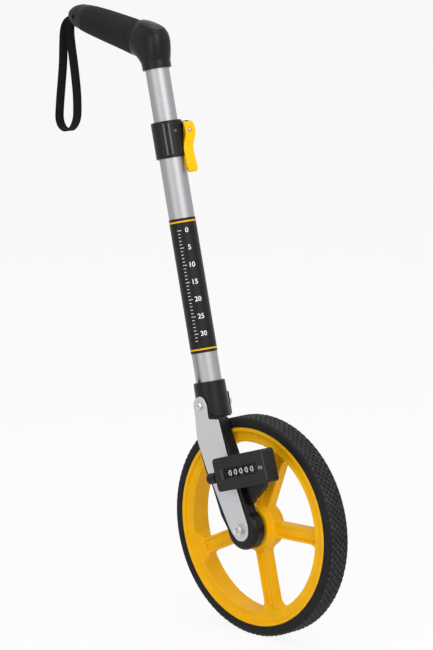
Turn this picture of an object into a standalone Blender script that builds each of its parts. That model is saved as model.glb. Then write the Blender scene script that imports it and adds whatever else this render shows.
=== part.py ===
"""Measuring wheel with a telescoping handle tube and a five digit counter.

The frame has +X in the walking direction, +Z up and its origin in the middle of the grip.
The handle tubes lie in the plane y = 0 and the wheel stands beside them, towards +Y.
All lengths are in metres.
"""
import bmesh
import bpy
from math import asin, atan2, cos, hypot, pi, radians, sin, tan
from mathutils import Matrix, Vector

# Clearances
GAP = 0.0003
OVERRUN = 0.002
DEEP_CUT = 0.1

# Line of the handle and the tubes
HANDLE_FALL = radians(11.0)
GRIP_REACH = 0.095
TUBE_LEAN = radians(13.67)
TYRE_RADIUS = 0.15915
AXLE_DOWN = 0.707
AXLE_FORWARD = 0.0407
WHEEL_OFFSET = 0.015
TYRE_TO_SOCKET = 0.00285
SOCKET_LENGTH = 0.053
SOCKET_END = AXLE_DOWN - TYRE_RADIUS - TYRE_TO_SOCKET
SOCKET_TOP = SOCKET_END - SOCKET_LENGTH

# Tubes, measured down from the elbow
UPPER_TUBE_RADIUS = 0.0172
LOWER_TUBE_RADIUS = 0.0186
TUBE_WALL = 0.001
UPPER_TUBE_TOP = 0.008
TUBE_TO_SOCKET = 0.045
UPPER_TUBE_END = SOCKET_TOP - TUBE_TO_SOCKET
PLUG_LENGTH = 0.012
PLUG_FLANGE = 0.0037
PLUG_BORE_RADIUS = 0.010
LABEL_LENGTH = 0.195
LABEL_TO_SOCKET = 0.042
LABEL_END = SOCKET_TOP - LABEL_TO_SOCKET
LABEL_TOP = LABEL_END - LABEL_LENGTH
LABEL_THICKNESS = 0.0005

# Handle
GRIP_BACK = 0.057
GRIP_FRONT = 0.066
CORE_RADIUS = 0.014
ELBOW_RADIUS = 0.042
COLLAR_END = 0.0375
COLLAR_RADIUS = 0.021
COLLAR_TOP = 0.006
STUB_RADIUS = 0.008
STUB_LENGTH = 0.010
CAP_LENGTH = 0.023
CAP_SLOT_WIDTH = 0.017
CAP_SLOT_HEIGHT = 0.012
CAP_SLOT_DEPTH = 0.0115
CAP_SLOT_DROP = 0.005
STRAP_PIN_RADIUS = 0.002
STRAP_PIN_LENGTH = 0.022
STRAP_PIN_BACK = 0.0705
CAP_SCREW_RADIUS = 0.0015
CAP_SCREW_HEAD_RADIUS = 0.003
CAP_SCREW_HEAD = 0.002
CAP_SCREW_BACK = 0.062
CAP_SCREW_LENGTH = 0.010
CAP_SCREW_OUT = 0.0155
TUBE_SCREW_DOWN = 0.024
TUBE_SCREW_RADIUS = 0.0016
TUBE_SCREW_HEAD_RADIUS = 0.0034
TUBE_SCREW_HEAD = 0.0022
TUBE_SCREW_LENGTH = 0.0072

# Wrist strap
STRAP_WIDTH = 0.016
STRAP_THICKNESS = 0.0022

# Clamp between the tubes
CLAMP_TOP = 0.114
CLAMP_LENGTH = 0.053
CLAMP_END = CLAMP_TOP + CLAMP_LENGTH
CLAMP_RADIUS = 0.0223
CLAMP_LIP = 0.0012
GUIDE_RING_LENGTH = 0.0062
LOWER_TUBE_TOP = CLAMP_TOP + CLAMP_LIP + GAP + GUIDE_RING_LENGTH + GAP
CLAMP_TURN = radians(71.0)
CLAMP_SLIT = 0.0025
EAR_REACH = 0.032
EAR_THICKNESS = 0.0072
EAR_DROP = 0.0025
EAR_LENGTH = 0.0335
EAR_TOP = CLAMP_TOP + EAR_DROP
EAR_END = EAR_TOP + EAR_LENGTH
EAR_ROUND = 0.003
CLAMP_RIB_WIDTH = 0.0018
CLAMP_RIB_HEIGHT = 0.001
CLAMP_RIB_MARGIN = 0.004
CLAMP_RIB_TURNS = (radians(-56.0), radians(-38.0))
CLAMP_BOLT_RADIUS = 0.002
CLAMP_BOLT_OUT = 0.02525
CLAMP_WASHER_RADIUS = 0.0045
CLAMP_WASHER_THICKNESS = 0.001
CLAMP_NUT_SIZE = 0.0037
CLAMP_NUT_HEIGHT = 0.0035

# Cam lever
LEVER_WIDTH = 0.0135
LEVER_DEPTH = 0.012
LEVER_HEAD_RADIUS = 0.006
LEVER_LENGTH = 0.070
LEVER_WALL = 0.0025
BARREL_RADIUS = 0.0032
PIVOT_DOWN = EAR_TOP + EAR_THICKNESS

# Tube socket and side arm
SOCKET_DEPTH = 0.0465
SOCKET_RADIUS = 0.023
SOCKET_FOOT_RADIUS = 0.024
SOCKET_CHAMFER = 0.0015
SOCKET_BOLT_UP = 0.020
SOCKET_BOLT_DOWN = SOCKET_END - SOCKET_BOLT_UP
SOCKET_BOLT_RADIUS = 0.003
SOCKET_PAD_WIDTH = 0.018
SOCKET_PAD_HEIGHT = 0.034
SOCKET_PAD_PROUD = 0.0024
PLATE_THICKNESS = 0.0015
ARM_THICKNESS = 0.0177
ARM_NEAR_WALL = 0.0024
ARM_STEP = 0.0004
BOSS_RADIUS = 0.030
BOSS_ROUND = 0.006
BRACKET_FACE = -0.0166
BRACKET_WALL = 0.002
BLADE_WIDTH = 0.0600
BRACKET_REACH = 0.075

# Screws, washers and nuts
BOLT_HEAD_RADIUS = 0.0055
BOLT_HEAD_HEIGHT = 0.0036
WASHER_THICKNESS = 0.0012
WASHER_RADIUS = 0.0075
NUT_SIZE = 0.0058
NUT_HEIGHT = 0.0042
RECESS_SIZE = 0.0028
RECESS_DEPTH = 0.002

# Wheel
TYRE_HALF_WIDTH = 0.0184
TYRE_ROUND = 0.003
TYRE_DEPTH = 0.01515
RIM_RADIUS = TYRE_RADIUS - TYRE_DEPTH
RIM_WIDTH = 0.0205
RIM_HALF_WIDTH = 0.0183
RIM_LIP = 0.006
RIM_STEP = 0.0035
WINDOW_RADIUS = RIM_RADIUS - RIM_WIDTH
WEB_HALF_WIDTH = 0.0070
SPOKE_WIDTH = 0.022
SPOKE_FLARE = 0.015
HUB_RADIUS = 0.033
HUB_HALF_WIDTH = 0.017
SPOKE_ANGLES = tuple(radians(a) for a in (2.0, 69.0, 138.0, 205.0, 284.0))
CHANNEL_EDGE = 0.0035
CHANNEL_DEPTH = 0.0035
AXLE_RADIUS = 0.004
BEARING_RADIUS = 0.011
BEARING_WIDTH = 0.006
BEARING_INSET = 0.0002
SPACER_RADIUS = 0.0062
AXLE_HEAD_RADIUS = 0.0075
AXLE_HEAD_HEIGHT = 0.0045
AXLE_WASHER_RADIUS = 0.0095
AXLE_NUT_SIZE = 0.0068
AXLE_NUT_HEIGHT = 0.0060
AXLE_BOLT_TAIL = 0.0015
AXLE_RECESS_SIZE = 0.0038
AXLE_RECESS_DEPTH = 0.0025

# Belt drive
BELT_SIDE_ROOM = 0.0012
PULLEY_ROOT_RADIUS = 0.0066
PULLEY_FLANGE_RADIUS = 0.0092
PULLEY_FLANGE = 0.0008
PULLEY_WIDTH = 0.0046
PULLEY_FACE = BRACKET_FACE + BRACKET_WALL + BELT_SIDE_ROOM
PULLEY_STEM_RADIUS = 0.0115
BELT_THICKNESS = 0.0016
BELT_CAVITY_MARGIN = 0.0013

# Counter
COUNTER_FORWARD = 0.0219
COUNTER_UP = 0.0935
COUNTER_TILT = radians(17.5)
COUNTER_LENGTH = 0.107
COUNTER_HEIGHT = 0.048
COUNTER_BACK = -0.0265
COUNTER_FRONT = -0.047
COUNTER_ROUND = 0.006
COUNTER_WALL = 0.002
COVER_THICKNESS = 0.0015
END_PLATE_THICKNESS = 0.003
WINDOW_LEFT = 0.035
WINDOW_RIGHT = 0.0335
WINDOW_HEIGHT = 0.016
WINDOW_THICKNESS = 0.001
HUMP_LEFT = 0.0373
HUMP_RIGHT = 0.031
HUMP_BACK_WALL = 0.0013
HUMP_WALL = 0.0013
DRUM_RADIUS = 0.0132
DRUM_TO_COVER = 0.0006
DRUM_AXIS_BACK = COUNTER_FRONT + COVER_THICKNESS + DRUM_TO_COVER + DRUM_RADIUS
DRUM_PITCH = 0.0113
DRUM_WIDTH = 0.0107
DRUM_FIRST = 0.0235
DRUM_COUNT = 5
DRUM_DISH_RADIUS = 0.0105
DRUM_DISH_DEPTH = 0.0025
DRUM_SHAFT_RADIUS = 0.002
SHAFT_SEAT = 0.0015
PINION_UP = 0.0172
PINION_FORWARD = 0.0032
PINION_RADIUS = 0.0035
PINION_ROOT_RADIUS = 0.0026
PINION_WIDTH = 0.004
PINION_TEETH = 8
CARRY_SHAFT_RADIUS = 0.0012
WORM_AXIS_LEFT = 0.0326
WORM_AXIS_DOWN = 0.0082
WORM_ROOT_RADIUS = 0.0023
WORM_RADIUS = 0.0033
WORM_LENGTH = 0.0098
WORM_WHEEL_RADIUS = 0.0055
WORM_WHEEL_ROOT_RADIUS = 0.0044
WORM_WHEEL_PITCH_RADIUS = 0.0052
WORM_WHEEL_WIDTH = 0.0024
WORM_WHEEL_TEETH = 10
WORM_SHAFT_RADIUS = 0.0018
RESET_BACK = -0.041
RESET_DOWN = 0.003
RESET_SHAFT_RADIUS = 0.0025
RESET_SHAFT_INSIDE = 0.006
RESET_KNOB_RADIUS = 0.0078
RESET_KNOB_LENGTH = 0.016
RESET_KNOB_GAP = 0.003
RESET_KNOB_RIBS = 12
RESET_KNOB_RIB_DEPTH = 0.0009
COUNTER_SCREW_RADIUS = 0.0016
COUNTER_SCREW_HEAD_RADIUS = 0.0034
COUNTER_SCREW_HEAD = 0.0022
COUNTER_SCREW_PLACES = ((-0.012, 0.009), (0.009, -0.009))

# Number of sides of round pieces
SIDES_TINY = 12
SIDES_SMALL = 18
SIDES_TUBE = 32
SIDES_WHEEL = 64

# Colours, roughness and metallic value of each finish
FINISHES = {
    "aluminium": ((0.62, 0.63, 0.65), 0.38, 1.0),
    "steel": ((0.48, 0.48, 0.50), 0.3, 1.0),
    "zinc": ((0.70, 0.70, 0.70), 0.35, 1.0),
    "black_plastic": ((0.022, 0.022, 0.024), 0.45, 0.0),
    "dark_plastic": ((0.012, 0.012, 0.013), 0.5, 0.0),
    "grip_rubber": ((0.028, 0.027, 0.028), 0.8, 0.0),
    "webbing": ((0.012, 0.012, 0.012), 0.9, 0.0),
    "yellow_plastic": ((0.86, 0.50, 0.01), 0.4, 0.0),
    "tyre_rubber": ((0.026, 0.027, 0.028), 0.75, 0.0),
    "label_print": ((0.015, 0.015, 0.016), 0.5, 0.0),
    "clear": ((0.9, 0.9, 0.9), 0.1, 0.0),
    "drum_black": ((0.03, 0.03, 0.03), 0.4, 0.0),
    "belt_rubber": ((0.03, 0.03, 0.03), 0.8, 0.0),
    "brass": ((0.70, 0.52, 0.22), 0.3, 1.0),
}


# Tools

def finish(name):
    """Return the named material, made the first time it is asked for."""
    if name in bpy.data.materials:
        return bpy.data.materials[name]
    colour, roughness, metallic = FINISHES[name]
    material = bpy.data.materials.new(name)
    material.use_nodes = True
    shader = material.node_tree.nodes["Principled BSDF"]
    shader.inputs["Base Color"].default_value = (*colour, 1.0)
    shader.inputs["Roughness"].default_value = roughness
    shader.inputs["Metallic"].default_value = metallic
    return material


def empty(name, place, turn=0.0, axis="Y", parent=None):
    """A guide that pieces are parented to, turned about one of its axes."""
    guide = bpy.data.objects.new(name, None)
    bpy.context.scene.collection.objects.link(guide)
    guide.parent = parent
    guide.matrix_local = Matrix.Translation(place) @ Matrix.Rotation(turn, 4, axis)
    return guide


def add(name, bm, finish_name, parent, place=(0.0, 0.0, 0.0), smooth=radians(35.0)):
    """Make an object of a bmesh, placed in its parent's frame."""
    bmesh.ops.recalc_face_normals(bm, faces=bm.faces)
    mesh = bpy.data.meshes.new(name)
    bm.to_mesh(mesh)
    bm.free()
    mesh.shade_smooth()
    mesh.set_sharp_from_angle(angle=smooth)
    obj = bpy.data.objects.new(name, mesh)
    bpy.context.scene.collection.objects.link(obj)
    obj.parent = parent
    obj.location = place
    if finish_name:
        mesh.materials.append(finish(finish_name))
    return obj


def guide(name, bm, parent, place=(0.0, 0.0, 0.0)):
    """A shape that only cuts or joins others."""
    obj = add(name, bm, None, parent, place)
    obj.hide_render = True
    obj.display_type = "WIRE"
    return obj


def boolean(target, other, operation):
    modifier = target.modifiers.new(other.name, "BOOLEAN")
    modifier.operation = operation
    modifier.solver = "EXACT"
    modifier.object = other


def cut(target, *others):
    for other in others:
        boolean(target, other, "DIFFERENCE")


def join(target, *others):
    for other in others:
        boolean(target, other, "UNION")


def axis_point(axis, radius, turn, along):
    """A point at a radius and turn about an axis, and a distance along it."""
    a, b = radius * cos(turn), radius * sin(turn)
    if axis == "X":
        return Vector((along, a, b))
    if axis == "Y":
        return Vector((b, along, a))
    return Vector((a, b, along))


def turned(profile, sides, axis="Z"):
    """Turn an outline of (radius, along) points into a solid.

    An outline that starts and ends on the axis gets flat ends, any other is a closed ring.
    """
    bm = bmesh.new()
    solid = profile[0][0] == 0.0
    outline = profile[1:-1] if solid else profile
    rings = [[bm.verts.new(axis_point(axis, radius, 2 * pi * i / sides, along)) for i in range(sides)]
             for radius, along in outline]
    pairs = list(zip(rings, rings[1:]))
    if solid:
        bm.faces.new(rings[0])
        bm.faces.new(reversed(rings[-1]))
    else:
        pairs.append((rings[-1], rings[0]))
    for first, second in pairs:
        for i in range(sides):
            j = (i + 1) % sides
            bm.faces.new((first[i], first[j], second[j], second[i]))
    return bm


def rod(radius, start, end, sides, axis="Z"):
    return turned([(0.0, start), (radius, start), (radius, end), (0.0, end)], sides, axis)


def ring(outer, inner, start, end, sides, axis="Z"):
    return turned([(inner, start), (outer, start), (outer, end), (inner, end)], sides, axis)


def shank(axis, sides, *steps):
    """A turned solid of (radius, start, end) steps that follow each other."""
    profile = [(0.0, steps[0][1])]
    for radius, start, end in steps:
        profile += [(radius, start), (radius, end)]
    profile.append((0.0, steps[-1][2]))
    return turned(profile, sides, axis)


def prism(outline, start, end, axis="Y"):
    """Extrude an outline of (x, z), (y, z) or (x, y) points along Y, X or Z."""
    bm = bmesh.new()
    places = {"X": lambda p, s: (s, p[0], p[1]), "Y": lambda p, s: (p[0], s, p[1]),
              "Z": lambda p, s: (p[0], p[1], s)}[axis]
    low = [bm.verts.new(places(p, start)) for p in outline]
    high = [bm.verts.new(places(p, end)) for p in outline]
    bm.faces.new(low)
    bm.faces.new(reversed(high))
    for i in range(len(outline)):
        j = (i + 1) % len(outline)
        bm.faces.new((low[i], high[i], high[j], low[j]))
    return bm


def box(x_range, y_range, z_range):
    outline = [(x_range[0], z_range[0]), (x_range[1], z_range[0]),
               (x_range[1], z_range[1]), (x_range[0], z_range[1])]
    return prism(outline, *y_range)


def rounded(points, radii, steps=3):
    """Round the corners of an outline, each by its own radius or all by one."""
    if not isinstance(radii, (list, tuple)):
        radii = [radii] * len(points)
    outline = []
    count = len(points)
    for i, radius in enumerate(radii):
        corner = Vector(points[i])
        before = Vector(points[i - 1]) - corner
        after = Vector(points[(i + 1) % count]) - corner
        half = before.angle(after) / 2
        reach = radius / tan(half)
        reach = min(reach, before.length / 2, after.length / 2)
        if reach == 0.0:
            outline.append(tuple(corner))
            continue
        before.normalize()
        after.normalize()
        start, end = corner + before * reach, corner + after * reach
        centre = corner + (before + after).normalized() * reach / cos(half)
        first, last = start - centre, end - centre
        sweep = first.angle_signed(last)
        for k in range(steps + 1):
            turn = Matrix.Rotation(-sweep * k / steps, 2)
            outline.append(tuple(centre + turn @ first))
    return [p for p, q in zip(outline, outline[1:] + outline[:1]) if (Vector(p) - Vector(q)).length > GAP / 10]


def panel(left, right, low, high, radius, steps=4):
    """An upright rectangle with round corners."""
    return rounded([(left, low), (right, low), (right, high), (left, high)], radius, steps)


def circle(radius, sides, centre=(0.0, 0.0)):
    return [(centre[0] + radius * sin(2 * pi * i / sides), centre[1] + radius * cos(2 * pi * i / sides))
            for i in range(sides)]


def hexagon(size):
    """A hexagon, by the distance from its middle to a flat."""
    return circle(size / cos(pi / 6), 6)


def gear(tip, root, teeth, tip_share=0.34, root_share=0.60):
    """Outline of a small spur gear with straight flanks and a gap at the first turn."""
    outline = []
    for i in range(teeth):
        middle = 2 * pi * (i + 0.5) / teeth
        for radius, side in ((root, -root_share), (tip, -tip_share), (tip, tip_share), (root, root_share)):
            turn = middle + side * pi / teeth
            outline.append((radius * sin(turn), radius * cos(turn)))
    return outline


def loft(sections, sides):
    """Skin rings of (centre, out, upper, lower, side) sections, closed at both ends.

    out is the direction of the upper half, and y is the direction of the side.
    """
    bm = bmesh.new()
    rings = []
    for centre, out, upper, lower, side in sections:
        verts = []
        for i in range(sides):
            turn = 2 * pi * i / sides
            height = sin(turn) * (upper if sin(turn) > 0 else lower)
            place = centre + out * height + Vector((0.0, side * cos(turn), 0.0))
            verts.append(bm.verts.new(place))
        rings.append(verts)
    for first, second in zip(rings, rings[1:]):
        for i in range(sides):
            j = (i + 1) % sides
            bm.faces.new((first[i], first[j], second[j], second[i]))
    bm.faces.new(rings[0])
    bm.faces.new(reversed(rings[-1]))
    return bm


def ribbon(points, width, thickness):
    """A flat band along a route of (x, z) points, its width along Y."""
    bm = bmesh.new()
    rings = []
    for i, point in enumerate(points):
        before = Vector(points[max(i - 1, 0)])
        after = Vector(points[min(i + 1, len(points) - 1)])
        along = (after - before).normalized()
        normal = Vector((-along.y, along.x))
        corners = []
        for side, face in ((-1, -1), (1, -1), (1, 1), (-1, 1)):
            place = Vector(point) + normal * face * thickness / 2
            corners.append(bm.verts.new((place.x, side * width / 2, place.y)))
        rings.append(corners)
    for first, second in zip(rings, rings[1:]):
        for i in range(4):
            j = (i + 1) % 4
            bm.faces.new((first[i], first[j], second[j], second[i]))
    bm.faces.new(rings[0])
    bm.faces.new(reversed(rings[-1]))
    return bm


def smooth_route(points, steps):
    """Read a smooth curve through the points, the same number of steps between each pair."""
    route = []
    last = len(points) - 1
    for i in range(last):
        p0, p1, p2, p3 = (Vector(points[min(max(k, 0), last)]) for k in (i - 1, i, i + 1, i + 2))
        for k in range(steps):
            t = k / steps
            route.append(0.5 * ((2 * p1) + (p2 - p0) * t + (2 * p0 - 5 * p1 + 4 * p2 - p3) * t ** 2
                                + (3 * p1 - p0 - 3 * p2 + p3) * t ** 3))
    route.append(Vector(points[last]))
    return route


# Guides of the main lines

def main_lines():
    """Empties for the handle, the tubes, the clamp, the side plate, the wheel and the counter."""
    elbow = Vector((GRIP_REACH * cos(HANDLE_FALL), 0.0, -GRIP_REACH * sin(HANDLE_FALL)))
    down = Vector((sin(TUBE_LEAN), 0.0, -cos(TUBE_LEAN)))
    ahead = Vector((cos(TUBE_LEAN), 0.0, sin(TUBE_LEAN)))
    axle = elbow + down * AXLE_DOWN + ahead * AXLE_FORWARD
    bolt_turn = atan2(AXLE_FORWARD, AXLE_DOWN - SOCKET_BOLT_DOWN)
    lines = {}
    lines["handle"] = empty("handle_line", (0.0, 0.0, 0.0), HANDLE_FALL)
    lines["tube"] = empty("tube_line", elbow, -TUBE_LEAN)
    lines["clamp"] = empty("clamp_line", (0.0, 0.0, 0.0), CLAMP_TURN, "Z", lines["tube"])
    lines["side"] = empty("side_line", axle, -(TUBE_LEAN + bolt_turn))
    lines["wheel"] = empty("wheel_line", axle + Vector((0.0, WHEEL_OFFSET, 0.0)))
    lines["axle"] = empty("axle_line", axle)
    counter = axle + Vector((COUNTER_FORWARD, 0.0, COUNTER_UP))
    lines["counter"] = empty("counter_line", counter, -COUNTER_TILT)
    return lines


# Handle

# Shares of the grip height: place along the grip, upper half, lower half and half width.
GRIP_HEIGHT = 0.049
GRIP_SECTION_SHARES = (
    (0.00, 0.380, 0.375, 0.350),
    (0.10, 0.420, 0.415, 0.370),
    (0.38, 0.470, 0.460, 0.380),
    (0.75, 0.500, 0.500, 0.400),
    (1.00, 0.505, 0.540, 0.415),
)
CAP_SECTION_SHARES = (
    (0.00, 0.380, 0.375, 0.350),
    (0.20, 0.370, 0.365, 0.345),
    (0.45, 0.330, 0.335, 0.325),
    (0.70, 0.270, 0.290, 0.295),
    (0.90, 0.180, 0.230, 0.250),
    (1.00, 0.110, 0.170, 0.200),
)
# Shares of the collar radius around the elbow: share of the turn, outer, inner and side half.
ELBOW_SECTION_SHARES = (
    (0.00, 1.310, 1.265, 1.000),
    (0.12, 1.400, 1.210, 1.015),
    (0.25, 1.480, 1.150, 1.025),
    (0.38, 1.530, 1.100, 1.035),
    (0.50, 1.540, 1.060, 1.040),
    (0.62, 1.450, 1.035, 1.035),
    (0.75, 1.290, 1.020, 1.025),
    (0.88, 1.120, 1.010, 1.010),
    (1.00, 1.015, 1.000, 1.000),
)


def handle_body(lines):
    """Round core under the grip, elbow, and collar over the upper tube, in one moulding."""
    out = Vector((0.0, 0.0, 1.0))
    sections = []
    for back, radius in ((GRIP_BACK + STUB_LENGTH, STUB_RADIUS), (GRIP_BACK - GAP, STUB_RADIUS),
                         (GRIP_BACK - GAP, CORE_RADIUS), (-GRIP_FRONT, CORE_RADIUS)):
        sections.append((Vector((-back, 0.0, 0.0)), out, radius, radius, radius))
    bend = pi / 2 - TUBE_LEAN - HANDLE_FALL
    run = ELBOW_RADIUS * tan(bend / 2)
    bend_start = GRIP_REACH - run
    first = ELBOW_SECTION_SHARES[0][1:]
    sections.append((Vector((GRIP_FRONT, 0.0, 0.0)), out, *(s * COLLAR_RADIUS for s in first)))
    for share, *sizes in ELBOW_SECTION_SHARES:
        turn = bend * share
        normal = Vector((sin(turn), 0.0, cos(turn)))
        centre = Vector((bend_start, 0.0, -ELBOW_RADIUS)) + normal * ELBOW_RADIUS
        sections.append((centre, normal, *(s * COLLAR_RADIUS for s in sizes)))
    down = Vector((cos(bend), 0.0, -sin(bend)))
    ahead = Vector((sin(bend), 0.0, cos(bend)))
    foot = Vector((GRIP_REACH, 0.0, 0.0)) + down * COLLAR_END
    sections.append((foot, ahead, COLLAR_RADIUS, COLLAR_RADIUS, COLLAR_RADIUS))
    body = add("handle_body", loft(sections, SIDES_TUBE), "black_plastic", lines["handle"])
    bore = rod(UPPER_TUBE_RADIUS + GAP, -(COLLAR_END + OVERRUN), -COLLAR_TOP, SIDES_TUBE)
    cut(body, guide("collar_bore", bore, lines["tube"]))
    hole = shank("X", SIDES_TINY,
                 (TUBE_SCREW_HEAD_RADIUS + GAP, -(COLLAR_RADIUS + DEEP_CUT), -screw_seat()),
                 (TUBE_SCREW_RADIUS + GAP, -screw_seat(), -TUBE_WALL))
    cut(body, guide("tube_screw_hole", hole, lines["tube"], (0.0, 0.0, -TUBE_SCREW_DOWN)))
    pilot = rod(CAP_SCREW_RADIUS + GAP, -DEEP_CUT, 0.0, SIDES_TINY, "Y")
    cut(body, guide("cap_screw_pilot", pilot, lines["handle"], (-CAP_SCREW_BACK, 0.0, 0.0)))
    return body


def screw_seat():
    """Distance from the tube's axis to the seat of the head of the screw in the collar."""
    return COLLAR_RADIUS - TUBE_SCREW_HEAD + GAP


def grip_pieces(lines):
    """Soft sleeve, end cap with its screw, and the pin that holds the strap."""
    out = Vector((0.0, 0.0, 1.0))
    length = GRIP_FRONT - GAP + GRIP_BACK
    sections = [(Vector((-GRIP_BACK + share * length, 0.0, 0.0)), out,
                 *(s * GRIP_HEIGHT for s in sizes)) for share, *sizes in GRIP_SECTION_SHARES]
    sleeve = add("grip_sleeve", loft(sections, SIDES_TUBE), "grip_rubber", lines["handle"])
    bore = rod(CORE_RADIUS + GAP, -DEEP_CUT, DEEP_CUT, SIDES_TUBE, "X")
    cut(sleeve, guide("sleeve_bore", bore, lines["handle"]))

    front = GRIP_BACK + GAP
    sections = [(Vector((-front - share * CAP_LENGTH, 0.0, 0.0)), out,
                 *(s * GRIP_HEIGHT for s in sizes)) for share, *sizes in CAP_SECTION_SHARES]
    cap = add("grip_end_cap", loft(sections, SIDES_TUBE), "black_plastic", lines["handle"])
    stub_end = GRIP_BACK + STUB_LENGTH + GAP
    cut(cap, guide("cap_bore", rod(STUB_RADIUS + GAP, -stub_end, 0.0, SIDES_SMALL, "X"), lines["handle"]))
    slot_back = GRIP_BACK + CAP_LENGTH
    slot = box((-slot_back - OVERRUN, -slot_back + CAP_SLOT_DEPTH),
               (-CAP_SLOT_WIDTH / 2, CAP_SLOT_WIDTH / 2),
               (-CAP_SLOT_DROP - CAP_SLOT_HEIGHT / 2, -CAP_SLOT_DROP + CAP_SLOT_HEIGHT / 2))
    cut(cap, guide("cap_slot", slot, lines["handle"]))
    pin_hole = rod(STRAP_PIN_RADIUS + GAP, -(STRAP_PIN_LENGTH / 2 + GAP), STRAP_PIN_LENGTH / 2 + GAP,
                   SIDES_TINY, "Y")
    pin_place = (-STRAP_PIN_BACK, 0.0, -CAP_SLOT_DROP)
    cut(cap, guide("strap_pin_hole", pin_hole, lines["handle"], pin_place))
    seat = CAP_SCREW_OUT - CAP_SCREW_HEAD
    hole = shank("Y", SIDES_TINY,
                 (CAP_SCREW_HEAD_RADIUS + GAP, -DEEP_CUT, -seat + GAP),
                 (CAP_SCREW_RADIUS + GAP, -seat + GAP, 0.0))
    screw_place = (-CAP_SCREW_BACK, 0.0, 0.0)
    cut(cap, guide("cap_screw_hole", hole, lines["handle"], screw_place))

    pin = rod(STRAP_PIN_RADIUS, -STRAP_PIN_LENGTH / 2, STRAP_PIN_LENGTH / 2, SIDES_TINY, "Y")
    add("strap_pin", pin, "steel", lines["handle"], pin_place)
    screw = shank("Y", SIDES_TINY,
                  (CAP_SCREW_HEAD_RADIUS, -CAP_SCREW_OUT, -seat),
                  (CAP_SCREW_RADIUS, -seat, -seat + CAP_SCREW_LENGTH))
    add("end_cap_screw", screw, "steel", lines["handle"], screw_place)


def upper_tube(lines):
    """Inner tube of the handle, its fixing screw and the plug that glides in the lower tube."""
    inner = UPPER_TUBE_RADIUS - TUBE_WALL
    tube = add("upper_tube", ring(UPPER_TUBE_RADIUS, inner, -UPPER_TUBE_END, -UPPER_TUBE_TOP, SIDES_TUBE),
               "aluminium", lines["tube"])
    hole = rod(TUBE_SCREW_RADIUS + GAP, -DEEP_CUT, 0.0, SIDES_TINY, "X")
    cut(tube, guide("tube_hole", hole, lines["tube"], (0.0, 0.0, -TUBE_SCREW_DOWN)))
    seat = screw_seat() + GAP
    screw = shank("X", SIDES_TINY,
                  (TUBE_SCREW_HEAD_RADIUS, -seat - TUBE_SCREW_HEAD + GAP, -seat),
                  (TUBE_SCREW_RADIUS, -seat, -seat + TUBE_SCREW_LENGTH))
    add("tube_screw", screw, "steel", lines["tube"], (0.0, 0.0, -TUBE_SCREW_DOWN))
    foot = -(UPPER_TUBE_END + GAP)
    flange = LOWER_TUBE_RADIUS - TUBE_WALL - GAP
    plug = turned([(PLUG_BORE_RADIUS, foot - PLUG_FLANGE), (flange, foot - PLUG_FLANGE), (flange, foot),
                   (inner - GAP, foot), (inner - GAP, foot + PLUG_LENGTH),
                   (PLUG_BORE_RADIUS, foot + PLUG_LENGTH)], SIDES_TUBE)
    add("glide_plug", plug, "black_plastic", lines["tube"])


# Route of the strap, as (x, z): from above its pin, down the outer side, and back up.
STRAP_ROUTE = (
    (-0.0722, 0.0109), (-0.0775, 0.0112), (-0.0850, 0.0090), (-0.0925, 0.0040), (-0.0980, -0.0040),
    (-0.1008, -0.0150), (-0.1020, -0.0300), (-0.1034, -0.0590), (-0.1062, -0.0830), (-0.1095, -0.1080),
    (-0.1122, -0.1320), (-0.1122, -0.1440), (-0.1080, -0.1535), (-0.1010, -0.1585), (-0.0935, -0.1600),
    (-0.0860, -0.1575), (-0.0790, -0.1510), (-0.0738, -0.1410), (-0.0722, -0.1290), (-0.0727, -0.1050),
    (-0.0757, -0.0810), (-0.0795, -0.0580), (-0.0842, -0.0330), (-0.0866, -0.0170), (-0.0862, -0.0040),
    (-0.0820, 0.0048), (-0.0775, 0.0068), (-0.0732, 0.0068),
)
STRAP_STEPS = 2


def wrist_strap():
    """Loop of webbing that hangs from the end of the handle."""
    route = smooth_route(STRAP_ROUTE, STRAP_STEPS)
    add("wrist_strap", ribbon(route, STRAP_WIDTH, STRAP_THICKNESS), "webbing", None)


# Lower tube and clamp

def lower_tube(lines):
    """Outer tube with its printed sleeve."""
    end = SOCKET_TOP + SOCKET_DEPTH - GAP
    inner = LOWER_TUBE_RADIUS - TUBE_WALL
    tube = add("lower_tube", ring(LOWER_TUBE_RADIUS, inner, -end, -LOWER_TUBE_TOP, SIDES_TUBE),
               "aluminium", lines["tube"])
    hole = rod(SOCKET_BOLT_RADIUS + GAP, -DEEP_CUT, DEEP_CUT, SIDES_SMALL, "Y")
    cut(tube, guide("lower_tube_hole", hole, lines["tube"], (0.0, 0.0, -SOCKET_BOLT_DOWN)))
    inner = LOWER_TUBE_RADIUS + GAP
    add("tube_label", ring(inner + LABEL_THICKNESS, inner, -LABEL_END, -LABEL_TOP, SIDES_TUBE),
        "label_print", lines["tube"])


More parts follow.
